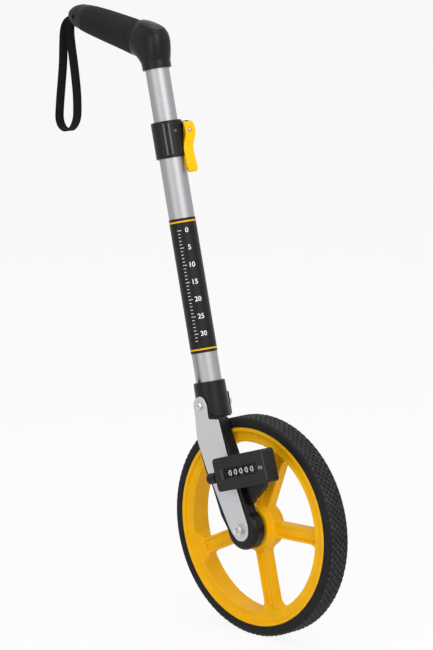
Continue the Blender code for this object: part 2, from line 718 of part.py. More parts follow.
def clamp_collar(lines):
    """Split collar over the end of the lower tube, with two ears and a guide ring for the upper tube."""
    bore = LOWER_TUBE_RADIUS + GAP
    lip = UPPER_TUBE_RADIUS + GAP
    lip_end = -(CLAMP_TOP + CLAMP_LIP)
    body = turned([(bore, -CLAMP_END), (CLAMP_RADIUS, -CLAMP_END), (CLAMP_RADIUS, -CLAMP_TOP),
                   (lip, -CLAMP_TOP), (lip, lip_end), (bore, lip_end)], SIDES_TUBE)
    collar = add("clamp_collar", body, "black_plastic", lines["clamp"])
    ear_side = CLAMP_SLIT / 2 + EAR_THICKNESS
    ears = prism(rounded([(bore, -EAR_END), (EAR_REACH, -EAR_END), (EAR_REACH, -EAR_TOP),
                          (bore, -EAR_TOP)], [0.0, EAR_ROUND, EAR_ROUND, 0.0]), -ear_side, ear_side)
    join(collar, guide("clamp_ears", ears, lines["clamp"]))
    for number, turn in enumerate(CLAMP_RIB_TURNS):
        line = empty(f"clamp_rib_line_{number}", (0.0, 0.0, 0.0), turn, "Z", lines["tube"])
        rib = box((CLAMP_RADIUS - CLAMP_RIB_HEIGHT, CLAMP_RADIUS + CLAMP_RIB_HEIGHT),
                  (-CLAMP_RIB_WIDTH / 2, CLAMP_RIB_WIDTH / 2),
                  (-(CLAMP_END - CLAMP_RIB_MARGIN), -(CLAMP_TOP + CLAMP_RIB_MARGIN)))
        join(collar, guide(f"clamp_rib_{number}", rib, line))
    slit = box((0.0, EAR_REACH + OVERRUN), (-CLAMP_SLIT / 2, CLAMP_SLIT / 2),
               (-(CLAMP_END + OVERRUN), -(CLAMP_TOP - OVERRUN)))
    cut(collar, guide("clamp_slit", slit, lines["clamp"]))
    pocket = box((lever_left() - GAP, EAR_REACH + OVERRUN), (-DEEP_CUT, -ear_side),
                 (-(CLAMP_END + OVERRUN), -(CLAMP_TOP - OVERRUN)))
    cut(collar, guide("lever_pocket", pocket, lines["clamp"]))
    hole = rod(CLAMP_BOLT_RADIUS + GAP, -DEEP_CUT, DEEP_CUT, SIDES_TINY, "Y")
    cut(collar, guide("clamp_bolt_hole", hole, lines["clamp"], (CLAMP_BOLT_OUT, 0.0, -PIVOT_DOWN)))

    ring_top = lip_end - GAP
    add("guide_ring", ring(LOWER_TUBE_RADIUS, UPPER_TUBE_RADIUS + GAP, ring_top - GUIDE_RING_LENGTH,
                           ring_top, SIDES_TUBE), "black_plastic", lines["tube"])

    washer_end = ear_side + GAP + CLAMP_WASHER_THICKNESS
    nut_end = washer_end + GAP + CLAMP_NUT_HEIGHT
    place = (CLAMP_BOLT_OUT, 0.0, -PIVOT_DOWN)
    hole = CLAMP_BOLT_RADIUS + GAP
    add("clamp_washer", ring(CLAMP_WASHER_RADIUS, hole, ear_side + GAP, washer_end, SIDES_SMALL, "Y"),
        "steel", lines["clamp"], place)
    nut = add("clamp_nut", prism(hexagon(CLAMP_NUT_SIZE), washer_end + GAP, nut_end), "steel",
              lines["clamp"], place)
    cut(nut, guide("clamp_nut_hole", rod(hole, -DEEP_CUT, DEEP_CUT, SIDES_TINY, "Y"), lines["clamp"], place))
    bolt = rod(CLAMP_BOLT_RADIUS, -(pivot_out() + BARREL_RADIUS - GAP), nut_end, SIDES_TINY, "Y")
    add("clamp_bolt", bolt, "steel", lines["clamp"], place)


def lever_left():
    """Edge of the lever nearest to the tube, along the ears."""
    return CLAMP_BOLT_OUT - LEVER_WIDTH / 2


def pivot_out():
    """Distance from the tube's axis to the lever's pivot, square to the ears."""
    return CLAMP_SLIT / 2 + EAR_THICKNESS + GAP + LEVER_HEAD_RADIUS


# Shares of the lever's depth and length, down from the head: its outer and its inner side.
LEVER_OUTER_SHARES = ((1.00, 0.10), (0.97, 0.22), (0.80, 0.36), (0.78, 0.52), (0.86, 0.70),
                      (0.98, 0.86), (1.00, 0.94), (0.90, 0.99), (0.78, 1.00))
LEVER_INNER_SHARES = ((0.66, 0.97), (0.40, 0.82), (0.22, 0.66), (0.10, 0.50), (0.04, 0.36),
                      (0.02, 0.22))


def cam_lever(lines):
    """Hollow lever that turns on a cross barrel and squeezes the ears."""
    line = empty("lever_line", (CLAMP_BOLT_OUT, -pivot_out(), -PIVOT_DOWN), 0.0, "X", lines["clamp"])
    back = LEVER_HEAD_RADIUS
    run = LEVER_LENGTH - LEVER_HEAD_RADIUS

    def side(shares):
        return [(back - depth * LEVER_DEPTH, -down * run) for depth, down in shares]

    head = [(LEVER_HEAD_RADIUS * cos(turn), LEVER_HEAD_RADIUS * sin(turn))
            for turn in (pi * k / 8 for k in range(9))]
    outline = head + side(LEVER_OUTER_SHARES) + side(LEVER_INNER_SHARES)
    lever = add("cam_lever", prism(outline, -LEVER_WIDTH / 2, LEVER_WIDTH / 2, "X"), "yellow_plastic", line)
    hollow = LEVER_WIDTH / 2 - LEVER_WALL
    outer = [(y + LEVER_WALL, z) for y, z in side(LEVER_OUTER_SHARES[1:-2])]
    cavity = prism([(back + OVERRUN, outer[0][1])] + outer + [(back + OVERRUN, outer[-1][1])],
                   -hollow, hollow, "X")
    cut(lever, guide("lever_hollow", cavity, line))
    head_room = LEVER_HEAD_RADIUS - LEVER_WALL
    slot = box((-head_room, head_room), (-head_room, back + OVERRUN), (outer[0][1] - OVERRUN, DEEP_CUT))
    cut(lever, guide("lever_head_slot", slot, line))
    cut(lever, guide("lever_bore", rod(BARREL_RADIUS + GAP, -DEEP_CUT, DEEP_CUT, SIDES_SMALL, "X"), line))
    barrel = add("lever_barrel", rod(BARREL_RADIUS, -LEVER_WIDTH / 2, LEVER_WIDTH / 2, SIDES_SMALL, "X"),
                 "steel", line)
    cut(barrel, guide("barrel_hole", rod(CLAMP_BOLT_RADIUS + GAP, -DEEP_CUT, DEEP_CUT, SIDES_TINY, "Y"),
                      line))


# Side arm, plates and their bolts

def plate_face():
    """Near face of the arm, just outside the socket."""
    return -(SOCKET_FOOT_RADIUS + GAP)


def arm_back():
    return plate_face() + ARM_THICKNESS


# Outlines beside the line from the axle to the socket bolt, as shares of its length upwards
# and of the blade's width forwards.
PLATE_SHARES = ((1.070, 0.10), (1.045, 0.20), (0.990, 0.225), (0.880, 0.140), (0.845, 0.465),
                (0.560, 0.375), (0.270, 0.320), (0.000, 0.290), (-0.070, 0.200), (-0.093, 0.0),
                (-0.070, -0.200), (0.000, -0.290), (0.085, -0.335), (0.400, -0.405), (0.520, -0.455),
                (0.720, -0.450), (0.780, -0.440), (0.960, -0.250), (1.040, -0.190), (1.070, -0.08))
PLATE_ROUND_SHARES = (0.12, 0.12, 0.03, 0.05, 0.05, 0.5, 0.5, 0.3, 0.2, 0.2,
                      0.2, 0.3, 0.3, 0.3, 0.3, 0.3, 0.1, 0.1, 0.12, 0.12)
BLADE_SHARES = ((1.020, 0.18), (0.900, 0.20), (0.850, 0.500), (0.735, 0.475), (0.630, 0.480),
                (0.545, 0.480), (0.300, 0.420), (0.000, 0.400), (0.000, -0.400), (0.160, -0.500),
                (0.400, -0.480), (0.510, -0.535), (0.660, -0.515), (0.750, -0.430), (1.020, -0.20))
POCKET_SHARES = ((0.800, 0.400), (0.640, 0.415), (0.600, 0.30), (0.560, -0.30), (0.640, -0.450),
                 (0.730, -0.390), (0.820, -0.340))
INNER_PLATE_SHARES = ((0.835, 0.440), (0.735, 0.445), (0.545, 0.455), (0.300, 0.400), (0.000, 0.380),
                      (-0.120, 0.200), (-0.120, -0.200), (0.000, -0.400), (0.160, -0.460),
                      (0.400, -0.450), (0.510, -0.500), (0.650, -0.490), (0.740, -0.410),
                      (0.860, -0.360))
# Bracket under the counter, as shares of the same length and of the bracket's reach forwards.
BRACKET_SHARES = ((0.110, 0.25), (0.155, 0.34), (0.225, 0.830), (0.310, 0.985), (0.480, 0.820),
                  (0.545, 0.400), (0.560, 0.100), (0.060, 0.05))


def plate_length():
    return hypot(AXLE_DOWN - SOCKET_BOLT_DOWN, AXLE_FORWARD)


def beside(shares, reach):
    return [(forward * reach, up * plate_length()) for up, forward in shares]


def side_arm(lines):
    """Black moulding: tube socket, hollow arm, axle boss and the bracket of the counter."""
    profile = [(0.0, -SOCKET_END), (SOCKET_FOOT_RADIUS, -SOCKET_END),
               (SOCKET_RADIUS, -(SOCKET_TOP + SOCKET_CHAMFER)), (SOCKET_RADIUS - SOCKET_CHAMFER, -SOCKET_TOP),
               (0.0, -SOCKET_TOP)]
    arm = add("side_arm", turned(profile, SIDES_TUBE), "black_plastic", lines["tube"])
    near, far = plate_face(), arm_back()
    blade = prism(rounded(beside(BLADE_SHARES, BLADE_WIDTH), BOSS_ROUND), near + ARM_STEP, far - ARM_STEP)
    join(arm, guide("arm_blade", blade, lines["side"]))
    bracket = prism(rounded(beside(BRACKET_SHARES, BRACKET_REACH), BOSS_ROUND), BRACKET_FACE,
                    far - 2 * ARM_STEP)
    join(arm, guide("counter_bracket", bracket, lines["side"]))
    turn_steps = [pi / 2 * k / 3 for k in range(4)]
    profile = [(0.0, far), (BOSS_RADIUS, far)]
    profile += [(BOSS_RADIUS - BOSS_ROUND * (1 - cos(t)), near + BOSS_ROUND * (1 - sin(t)))
                for t in turn_steps]
    profile.append((0.0, near))
    join(arm, guide("axle_boss", turned(profile, SIDES_TUBE, "Y"), lines["axle"]))
    pad = box((-SOCKET_PAD_WIDTH / 2, SOCKET_PAD_WIDTH / 2),
              (SOCKET_RADIUS / 2, SOCKET_FOOT_RADIUS + SOCKET_PAD_PROUD),
              (-SOCKET_END + SOCKET_CHAMFER, -SOCKET_END + SOCKET_PAD_HEIGHT))
    join(arm, guide("nut_pad", pad, lines["tube"]))

    bore = rod(LOWER_TUBE_RADIUS + GAP, -(SOCKET_TOP + SOCKET_DEPTH), -SOCKET_TOP + OVERRUN, SIDES_TUBE)
    cut(arm, guide("socket_bore", bore, lines["tube"]))
    hole = rod(SOCKET_BOLT_RADIUS + GAP, -DEEP_CUT, DEEP_CUT, SIDES_SMALL, "Y")
    cut(arm, guide("socket_bolt_hole", hole, lines["tube"], (0.0, 0.0, -SOCKET_BOLT_DOWN)))
    pocket = prism(rounded(beside(POCKET_SHARES, BLADE_WIDTH), BOSS_ROUND / 2),
                   near + ARM_NEAR_WALL, far + OVERRUN)
    cut(arm, guide("arm_pocket", pocket, lines["side"]))
    cavity = prism(belt_outline(belt_radius() + BELT_THICKNESS + BELT_CAVITY_MARGIN),
                   BRACKET_FACE + BRACKET_WALL, far + OVERRUN)
    cut(arm, guide("belt_cavity", cavity, lines["axle"]))
    axle_hole = rod(AXLE_RADIUS + GAP, -DEEP_CUT, DEEP_CUT, SIDES_SMALL, "Y")
    cut(arm, guide("arm_axle_hole", axle_hole, lines["axle"]))
    stem = rod(PULLEY_STEM_RADIUS + 2 * GAP, PULLEY_FACE + PULLEY_WIDTH - OVERRUN, far + OVERRUN,
               SIDES_TUBE, "Y")
    cut(arm, guide("stem_recess", stem, lines["axle"]))
    shaft_hole = rod(WORM_SHAFT_RADIUS + GAP, -DEEP_CUT, far + OVERRUN, SIDES_TINY, "Y")
    cut(arm, guide("worm_shaft_hole", shaft_hole, lines["counter"], worm_place()))
    recess = prism(panel(-(HUMP_LEFT + GAP), HUMP_RIGHT + GAP, -(hump_half() + GAP), hump_half() + GAP, 0.0),
                   -DEEP_CUT, BRACKET_FACE)
    cut(arm, guide("hump_recess", recess, lines["counter"]))
    for number, (x, z) in enumerate(COUNTER_SCREW_PLACES, 1):
        hole = shank("Y", SIDES_TINY,
                     (COUNTER_SCREW_RADIUS + GAP, -DEEP_CUT, far - COUNTER_SCREW_HEAD - GAP),
                     (COUNTER_SCREW_HEAD_RADIUS + GAP, far - COUNTER_SCREW_HEAD - GAP, far + OVERRUN))
        cut(arm, guide(f"counter_screw_hole_{number}", hole, lines["counter"], (x, 0.0, z)))


def plates(lines):
    """Near aluminium plate and the thin plate that closes the arm towards the wheel."""
    near = plate_face() - GAP
    radii = [share * BLADE_WIDTH for share in PLATE_ROUND_SHARES]
    outline = rounded(beside(PLATE_SHARES, BLADE_WIDTH), radii)
    plate = add("side_plate", prism(outline, near - PLATE_THICKNESS, near), "aluminium", lines["side"])
    bolt_hole = rod(SOCKET_BOLT_RADIUS + GAP, -DEEP_CUT, DEEP_CUT, SIDES_SMALL, "Y")
    cut(plate, guide("plate_bolt_hole", bolt_hole, lines["side"], (0.0, 0.0, plate_length())))
    axle_hole = rod(AXLE_RADIUS + GAP, -DEEP_CUT, DEEP_CUT, SIDES_SMALL, "Y")
    cut(plate, guide("plate_axle_hole", axle_hole, lines["side"]))

    far = arm_back() + GAP
    outline = rounded(beside(INNER_PLATE_SHARES, BLADE_WIDTH), BOSS_ROUND)
    inner = add("inner_plate", prism(outline, far, far + PLATE_THICKNESS), "aluminium", lines["side"])
    stem = rod(PULLEY_STEM_RADIUS + 2 * GAP, -DEEP_CUT, DEEP_CUT, SIDES_TUBE, "Y")
    cut(inner, guide("plate_stem_hole", stem, lines["side"]))


def hex_bolt(name, radius, head_radius, head_height, seat, end, recess_size, recess_depth, parent, place):
    """A round headed bolt with a hexagon recess, its head towards -Y."""
    bolt = add(name, shank("Y", SIDES_SMALL, (head_radius, seat - head_height, seat), (radius, seat, end)),
               "zinc", parent, place)
    recess = prism(hexagon(recess_size), seat - head_height - OVERRUN, seat - head_height + recess_depth)
    cut(bolt, guide(name + "_recess", recess, parent, place))


def hex_nut(name, size, hole, start, end, parent, place):
    nut = add(name, prism(hexagon(size), start, end), "zinc", parent, place)
    cut(nut, guide(name + "_hole", rod(hole, -DEEP_CUT, DEEP_CUT, SIDES_SMALL, "Y"), parent, place))


def socket_bolt(lines):
    """Through bolt of the socket, with a washer and a nut on the far side."""
    place = (0.0, 0.0, -SOCKET_BOLT_DOWN)
    seat = plate_face() - GAP - PLATE_THICKNESS - GAP
    washer_start = SOCKET_FOOT_RADIUS + SOCKET_PAD_PROUD + GAP
    nut_start = washer_start + WASHER_THICKNESS + GAP
    hole = SOCKET_BOLT_RADIUS + GAP
    hex_bolt("socket_bolt", SOCKET_BOLT_RADIUS, BOLT_HEAD_RADIUS, BOLT_HEAD_HEIGHT, seat,
             nut_start + NUT_HEIGHT, RECESS_SIZE, RECESS_DEPTH, lines["tube"], place)
    add("socket_washer", ring(WASHER_RADIUS, hole, washer_start, washer_start + WASHER_THICKNESS,
                              SIDES_SMALL, "Y"), "zinc", lines["tube"], place)
    hex_nut("socket_nut", NUT_SIZE, hole, nut_start, nut_start + NUT_HEIGHT, lines["tube"], place)


# Wheel

def window_outline(start, end):
    """Opening between two spokes, from the hub to the rim, its outer corners wide and round."""
    half = SPOKE_WIDTH / 2
    points = []
    radii = []
    inner = HUB_RADIUS + SPOKE_FLARE / 3
    first_in = start + asin(half / inner)
    last_in = end - asin(half / inner)
    first_out = start + asin(half / WINDOW_RADIUS)
    last_out = end - asin(half / WINDOW_RADIUS)
    arc_steps = 8
    for k in range(arc_steps + 1):
        turn = first_out + (last_out - first_out) * k / arc_steps
        points.append((WINDOW_RADIUS * cos(turn), WINDOW_RADIUS * sin(turn)))
        radii.append(SPOKE_FLARE if k in (0, arc_steps) else 0.0)
    for turn in (last_in, first_in):
        points.append((inner * cos(turn), inner * sin(turn)))
        radii.append(SPOKE_FLARE / 3)
    return points, radii


def corner_outline(points, radii):
    """Round only the corners that have a radius, with full reach along the next straight side."""
    outline = []
    count = len(points)
    for i, radius in enumerate(radii):
        if radius == 0.0:
            if radii[i - 1] == 0.0 and radii[(i + 1) % count] == 0.0:
                outline.append(points[i])
            continue
        corner = Vector(points[i])
        before = Vector(points[i - 1]) - corner
        after = Vector(points[(i + 1) % count]) - corner
        half = before.angle(after) / 2
        reach = radius / tan(half)
        before.normalize()
        after.normalize()
        start, end = corner + before * reach, corner + after * reach
        centre = corner + (before + after).normalized() * reach / cos(half)
        first, last = start - centre, end - centre
        sweep = first.angle_signed(last)
        steps = 4
        for k in range(steps + 1):
            outline.append(tuple(centre + Matrix.Rotation(-sweep * k / steps, 2) @ first))
    return outline


def wheel(lines):
    """Yellow wheel with five channelled spokes, and its tyre."""
    lip = RIM_RADIUS - RIM_LIP
    step = RIM_HALF_WIDTH - RIM_STEP
    web = WEB_HALF_WIDTH
    hub_face = HUB_HALF_WIDTH
    rim_foot = WINDOW_RADIUS - RIM_STEP
    profile = [(0.0, -hub_face), (HUB_RADIUS, -hub_face), (HUB_RADIUS, -web), (rim_foot, -web),
               (WINDOW_RADIUS, -step), (lip, -step), (lip, -RIM_HALF_WIDTH),
               (RIM_RADIUS, -RIM_HALF_WIDTH)]
    profile += [(r, -y) for r, y in reversed(profile)]
    body = add("wheel", turned(profile, SIDES_WHEEL, "Y"), "yellow_plastic", lines["wheel"])
    turns = list(SPOKE_ANGLES) + [SPOKE_ANGLES[0] + 2 * pi]
    for number, (start, end) in enumerate(zip(turns, turns[1:]), 1):
        opening = corner_outline(*window_outline(start, end))
        cut(body, guide(f"window_{number}", prism(opening, -DEEP_CUT, DEEP_CUT), lines["wheel"]))
    half = SPOKE_WIDTH / 2 - CHANNEL_EDGE
    reach_in, reach_out = HUB_RADIUS + CHANNEL_EDGE, rim_foot - CHANNEL_EDGE
    for number, turn in enumerate(SPOKE_ANGLES, 1):
        line = empty(f"spoke_line_{number}", (0.0, 0.0, 0.0), -turn, "Y", lines["wheel"])
        for side, sign in (("near", -1), ("far", 1)):
            channel = prism(panel(reach_in, reach_out, -half, half, half / 2, 2),
                            sign * (web - CHANNEL_DEPTH), sign * (web + OVERRUN))
            cut(body, guide(f"channel_{side}_{number}", channel, line))
    seat = HUB_HALF_WIDTH - BEARING_WIDTH - BEARING_INSET
    bore = turned([(0.0, -DEEP_CUT), (BEARING_RADIUS + GAP, -DEEP_CUT), (BEARING_RADIUS + GAP, -seat),
                   (SPACER_RADIUS + 2 * GAP, -seat), (SPACER_RADIUS + 2 * GAP, seat),
                   (BEARING_RADIUS + GAP, seat), (BEARING_RADIUS + GAP, DEEP_CUT), (0.0, DEEP_CUT)],
                  SIDES_SMALL, "Y")
    cut(body, guide("hub_bore", bore, lines["wheel"]))

    inner = RIM_RADIUS + GAP
    half = TYRE_HALF_WIDTH
    crown = TYRE_RADIUS - TYRE_ROUND
    profile = [(inner, -half), (crown, -half), (TYRE_RADIUS - TYRE_ROUND / 3, -half + TYRE_ROUND / 3),
               (TYRE_RADIUS, -half + TYRE_ROUND)]
    profile += [(r, -y) for r, y in reversed(profile)]
    add("tyre", turned(profile, SIDES_WHEEL, "Y"), "tyre_rubber", lines["wheel"])

    for name, sign in (("bearing_near", -1), ("bearing_far", 1)):
        start = sign * (seat + GAP / 2)
        end = sign * (seat + BEARING_WIDTH)
        add(name, ring(BEARING_RADIUS, AXLE_RADIUS + GAP, min(start, end), max(start, end),
                       SIDES_SMALL, "Y"), "steel", lines["wheel"])
    add("bearing_spacer", ring(SPACER_RADIUS, AXLE_RADIUS + GAP, -seat + GAP, seat - GAP,
                               SIDES_SMALL, "Y"), "zinc", lines["wheel"])


def axle(lines):
    """Bolt that carries the wheel, with its washers and nut."""
    origin = (0.0, 0.0, 0.0)
    washer = plate_face() - GAP - PLATE_THICKNESS - GAP
    seat = washer - WASHER_THICKNESS - GAP
    hub_end = WHEEL_OFFSET + HUB_HALF_WIDTH + GAP
    nut_start = hub_end + WASHER_THICKNESS + GAP
    hole = AXLE_RADIUS + GAP
    hex_bolt("axle_bolt", AXLE_RADIUS, AXLE_HEAD_RADIUS, AXLE_HEAD_HEIGHT, seat,
             nut_start + AXLE_NUT_HEIGHT + AXLE_BOLT_TAIL, AXLE_RECESS_SIZE, AXLE_RECESS_DEPTH,
             lines["axle"], origin)
    add("axle_head_washer", ring(AXLE_WASHER_RADIUS, hole, washer - WASHER_THICKNESS, washer,
                                 SIDES_SMALL, "Y"), "zinc", lines["axle"])
    add("axle_washer", ring(WASHER_RADIUS, hole, hub_end, hub_end + WASHER_THICKNESS, SIDES_SMALL, "Y"),
        "zinc", lines["axle"])
    hex_nut("axle_nut", AXLE_NUT_SIZE, hole, nut_start, nut_start + AXLE_NUT_HEIGHT, lines["axle"], origin)


# Belt drive

def belt_radius():
    return PULLEY_ROOT_RADIUS + GAP


def worm_place():
    return (-WORM_AXIS_LEFT, 0.0, -WORM_AXIS_DOWN)


def worm_from_axle():
    """Place of the counter's drive shaft beside the axle, as (x, z)."""
    x, z = -WORM_AXIS_LEFT, -WORM_AXIS_DOWN
    c, s = cos(COUNTER_TILT), sin(COUNTER_TILT)
    return Vector((COUNTER_FORWARD + x * c - z * s, COUNTER_UP + x * s + z * c))


def belt_outline(radius, steps=16):
    """Outline around both pulleys at a distance from their axes."""
    top = worm_from_axle()
    heading = atan2(top.x, top.y)
    outline = []
    for centre, start in ((top, heading - pi / 2), (Vector((0.0, 0.0)), heading + pi / 2)):
        for k in range(steps + 1):
            turn = start + pi * k / steps
            outline.append((centre.x + radius * sin(turn), centre.y + radius * cos(turn)))
    return outline


def belt_drive(lines):
    """Pulley on the wheel's hub, pulley on the counter's shaft, and the belt around them."""
    start, end = PULLEY_FACE, PULLEY_FACE + PULLEY_WIDTH
    groove = [(PULLEY_FLANGE_RADIUS, start), (PULLEY_FLANGE_RADIUS, start + PULLEY_FLANGE),
              (PULLEY_ROOT_RADIUS, start + PULLEY_FLANGE), (PULLEY_ROOT_RADIUS, end - PULLEY_FLANGE),
              (PULLEY_FLANGE_RADIUS, end - PULLEY_FLANGE), (PULLEY_FLANGE_RADIUS, end)]
    bore = AXLE_RADIUS + GAP
    hub_face = WHEEL_OFFSET - HUB_HALF_WIDTH - GAP
    hub = turned([(bore, start)] + groove + [(PULLEY_STEM_RADIUS, end), (PULLEY_STEM_RADIUS, hub_face),
                                            (bore, hub_face)], SIDES_SMALL, "Y")
    add("hub_pulley", hub, "black_plastic", lines["axle"])
    bore = WORM_SHAFT_RADIUS + GAP
    add("counter_pulley", turned([(bore, start)] + groove + [(bore, end)], SIDES_SMALL, "Y"),
        "black_plastic", lines["counter"], worm_place())
    bm = bmesh.new()
    low, high = start + PULLEY_FLANGE + GAP, end - PULLEY_FLANGE - GAP
    loops = []
    for radius, y in ((belt_radius(), low), (belt_radius() + BELT_THICKNESS, low),
                      (belt_radius() + BELT_THICKNESS, high), (belt_radius(), high)):
        loops.append([bm.verts.new((x, y, z)) for x, z in belt_outline(radius)])
    for first, second in zip(loops, loops[1:] + loops[:1]):
        for i in range(len(first)):
            j = (i + 1) % len(first)
            bm.faces.new((first[i], first[j], second[j], second[i]))
    add("drive_belt", bm, "belt_rubber", lines["axle"])


# Counter

def hump_half():
    """Half height of the hump that the drums reach back into."""
    return DRUM_RADIUS + 2 * GAP + HUMP_WALL


def counter_case(lines):
    """Case, front cover with its window, end plate, and the screws that hold it to the bracket."""
    line = lines["counter"]
    left, right = -COUNTER_LENGTH / 2, COUNTER_LENGTH / 2 - END_PLATE_THICKNESS - GAP
    half = COUNTER_HEIGHT / 2
    inner = half - COUNTER_WALL
    case_front = COUNTER_FRONT + COVER_THICKNESS + GAP
    case = add("counter_case", prism(panel(left, right, -half, half, COUNTER_ROUND), case_front, COUNTER_BACK),
               "dark_plastic", line)
    hump_back = BRACKET_FACE - GAP
    hump = prism(panel(-HUMP_LEFT, HUMP_RIGHT, -hump_half(), hump_half(), 0.0),
                 COUNTER_BACK - COUNTER_WALL / 2, hump_back)
    join(case, guide("case_hump", hump, line))
    room = prism(panel(left + COUNTER_WALL, right - COUNTER_WALL, -inner, inner, COUNTER_ROUND - COUNTER_WALL),
                 case_front - OVERRUN, COUNTER_BACK - COUNTER_WALL)
    cut(case, guide("case_room", room, line))
    drum_room = hump_half() - HUMP_WALL
    hump_room = prism(panel(-(HUMP_LEFT - HUMP_WALL), HUMP_RIGHT - HUMP_WALL, -drum_room, drum_room, 0.0),
                      case_front - OVERRUN, hump_back - HUMP_BACK_WALL)
    cut(case, guide("hump_room", hump_room, line))
    seats = rod(DRUM_SHAFT_RADIUS + GAP, left + COUNTER_WALL - SHAFT_SEAT, right - COUNTER_WALL + SHAFT_SEAT,
                SIDES_TINY, "X")
    cut(case, guide("drum_shaft_seats", seats, line, (0.0, DRUM_AXIS_BACK, 0.0)))
    seats = rod(CARRY_SHAFT_RADIUS + GAP, left + COUNTER_WALL - SHAFT_SEAT,
                right - COUNTER_WALL + SHAFT_SEAT, SIDES_TINY, "X")
    cut(case, guide("carry_shaft_seats", seats, line, (0.0, DRUM_AXIS_BACK - PINION_FORWARD, PINION_UP)))
    reset = rod(RESET_SHAFT_RADIUS + GAP, left - OVERRUN, left + COUNTER_WALL + OVERRUN, SIDES_SMALL, "X")
    cut(case, guide("reset_hole", reset, line, (0.0, RESET_BACK, -RESET_DOWN)))
    worm_hole = rod(WORM_SHAFT_RADIUS + GAP, DRUM_AXIS_BACK, -GAP, SIDES_TINY, "Y")
    cut(case, guide("worm_hole", worm_hole, line, worm_place()))

    cover = add("counter_cover", prism(panel(left, right, -half, half, COUNTER_ROUND), COUNTER_FRONT,
                                       COUNTER_FRONT + COVER_THICKNESS), "dark_plastic", line)
    window = panel(-WINDOW_LEFT, WINDOW_RIGHT, -WINDOW_HEIGHT / 2, WINDOW_HEIGHT / 2, 0.0)
    cut(cover, guide("cover_opening", prism(window, -DEEP_CUT, 0.0), line))
    pane = panel(-WINDOW_LEFT + GAP, WINDOW_RIGHT - GAP, -WINDOW_HEIGHT / 2 + GAP, WINDOW_HEIGHT / 2 - GAP, 0.0)
    pane_front = COUNTER_FRONT + GAP
    add("counter_window", prism(pane, pane_front, pane_front + WINDOW_THICKNESS), "clear", line)
    end = COUNTER_LENGTH / 2
    add("counter_end_plate", prism(panel(COUNTER_FRONT, COUNTER_BACK, -half, half, COUNTER_WALL),
                                   end - END_PLATE_THICKNESS, end, "X"), "dark_plastic", line)
    for number, (x, z) in enumerate(COUNTER_SCREW_PLACES, 1):
        hole = rod(COUNTER_SCREW_RADIUS + GAP, hump_back - HUMP_BACK_WALL - OVERRUN, hump_back + OVERRUN,
                   SIDES_TINY, "Y")
        cut(case, guide(f"case_screw_hole_{number}", hole, line, (x, 0.0, z)))
        head = arm_back() - COUNTER_SCREW_HEAD
        screw = shank("Y", SIDES_TINY, (COUNTER_SCREW_RADIUS, hump_back - HUMP_BACK_WALL, head),
                      (COUNTER_SCREW_HEAD_RADIUS, head, head + COUNTER_SCREW_HEAD - GAP))
        add(f"counter_screw_{number}", screw, "steel", line, (x, 0.0, z))


def drum_x(number):
    """Middle of a drum along the shaft, counted from the left."""
    return -DRUM_FIRST + DRUM_PITCH * (number - 1)


def counter_works(lines):
    """Worm, worm wheel, drum shaft, digit drums, and the pinions that carry from drum to drum."""
    line = lines["counter"]
    left = -COUNTER_LENGTH / 2 + COUNTER_WALL - SHAFT_SEAT + GAP
    right = COUNTER_LENGTH / 2 - END_PLATE_THICKNESS - GAP - COUNTER_WALL + SHAFT_SEAT - GAP
    axis = (0.0, DRUM_AXIS_BACK, 0.0)
    add("drum_shaft", rod(DRUM_SHAFT_RADIUS, left, right, SIDES_TINY, "X"), "steel", line, axis)
    for number in range(1, DRUM_COUNT + 1):
        half = DRUM_WIDTH / 2
        dish = half - DRUM_DISH_DEPTH
        bore = DRUM_SHAFT_RADIUS + GAP
        hub = 2 * bore
        profile = [(bore, -half), (hub, -half), (hub, -dish), (DRUM_DISH_RADIUS, -dish),
                   (DRUM_DISH_RADIUS, -half), (DRUM_RADIUS, -half), (DRUM_RADIUS, half), (bore, half)]
        drum = turned(profile, SIDES_SMALL, "X")
        add(f"digit_drum_{number}", drum, "drum_black", line, (drum_x(number), DRUM_AXIS_BACK, 0.0))

    carry = (0.0, DRUM_AXIS_BACK - PINION_FORWARD, PINION_UP)
    add("carry_shaft", rod(CARRY_SHAFT_RADIUS, left, right, SIDES_TINY, "X"), "steel", line, carry)
    teeth = gear(PINION_RADIUS, PINION_ROOT_RADIUS, PINION_TEETH)
    for number in range(1, DRUM_COUNT):
        place = (drum_x(number) + DRUM_PITCH / 2, DRUM_AXIS_BACK - PINION_FORWARD, PINION_UP)
        pinion = add(f"carry_pinion_{number}", prism(teeth, -PINION_WIDTH / 2, PINION_WIDTH / 2, "X"),
                     "brass", line, place)
        bore = rod(CARRY_SHAFT_RADIUS + GAP, -DEEP_CUT, DEEP_CUT, SIDES_TINY, "X")
        cut(pinion, guide(f"pinion_bore_{number}", bore, line, place))

    place = (-WORM_AXIS_LEFT, DRUM_AXIS_BACK, 0.0)
    teeth = [(-a, -b) for a, b in gear(WORM_WHEEL_RADIUS, WORM_WHEEL_ROOT_RADIUS, WORM_WHEEL_TEETH)]
    wheel_gear = add("worm_wheel", prism(teeth, -WORM_WHEEL_WIDTH / 2, WORM_WHEEL_WIDTH / 2, "X"), "brass",
                     line, place)
    bore = rod(DRUM_SHAFT_RADIUS + GAP, -DEEP_CUT, DEEP_CUT, SIDES_TINY, "X")
    cut(wheel_gear, guide("worm_wheel_bore", bore, line, place))
    add("worm_shaft", worm_thread(), "steel", line, worm_place())


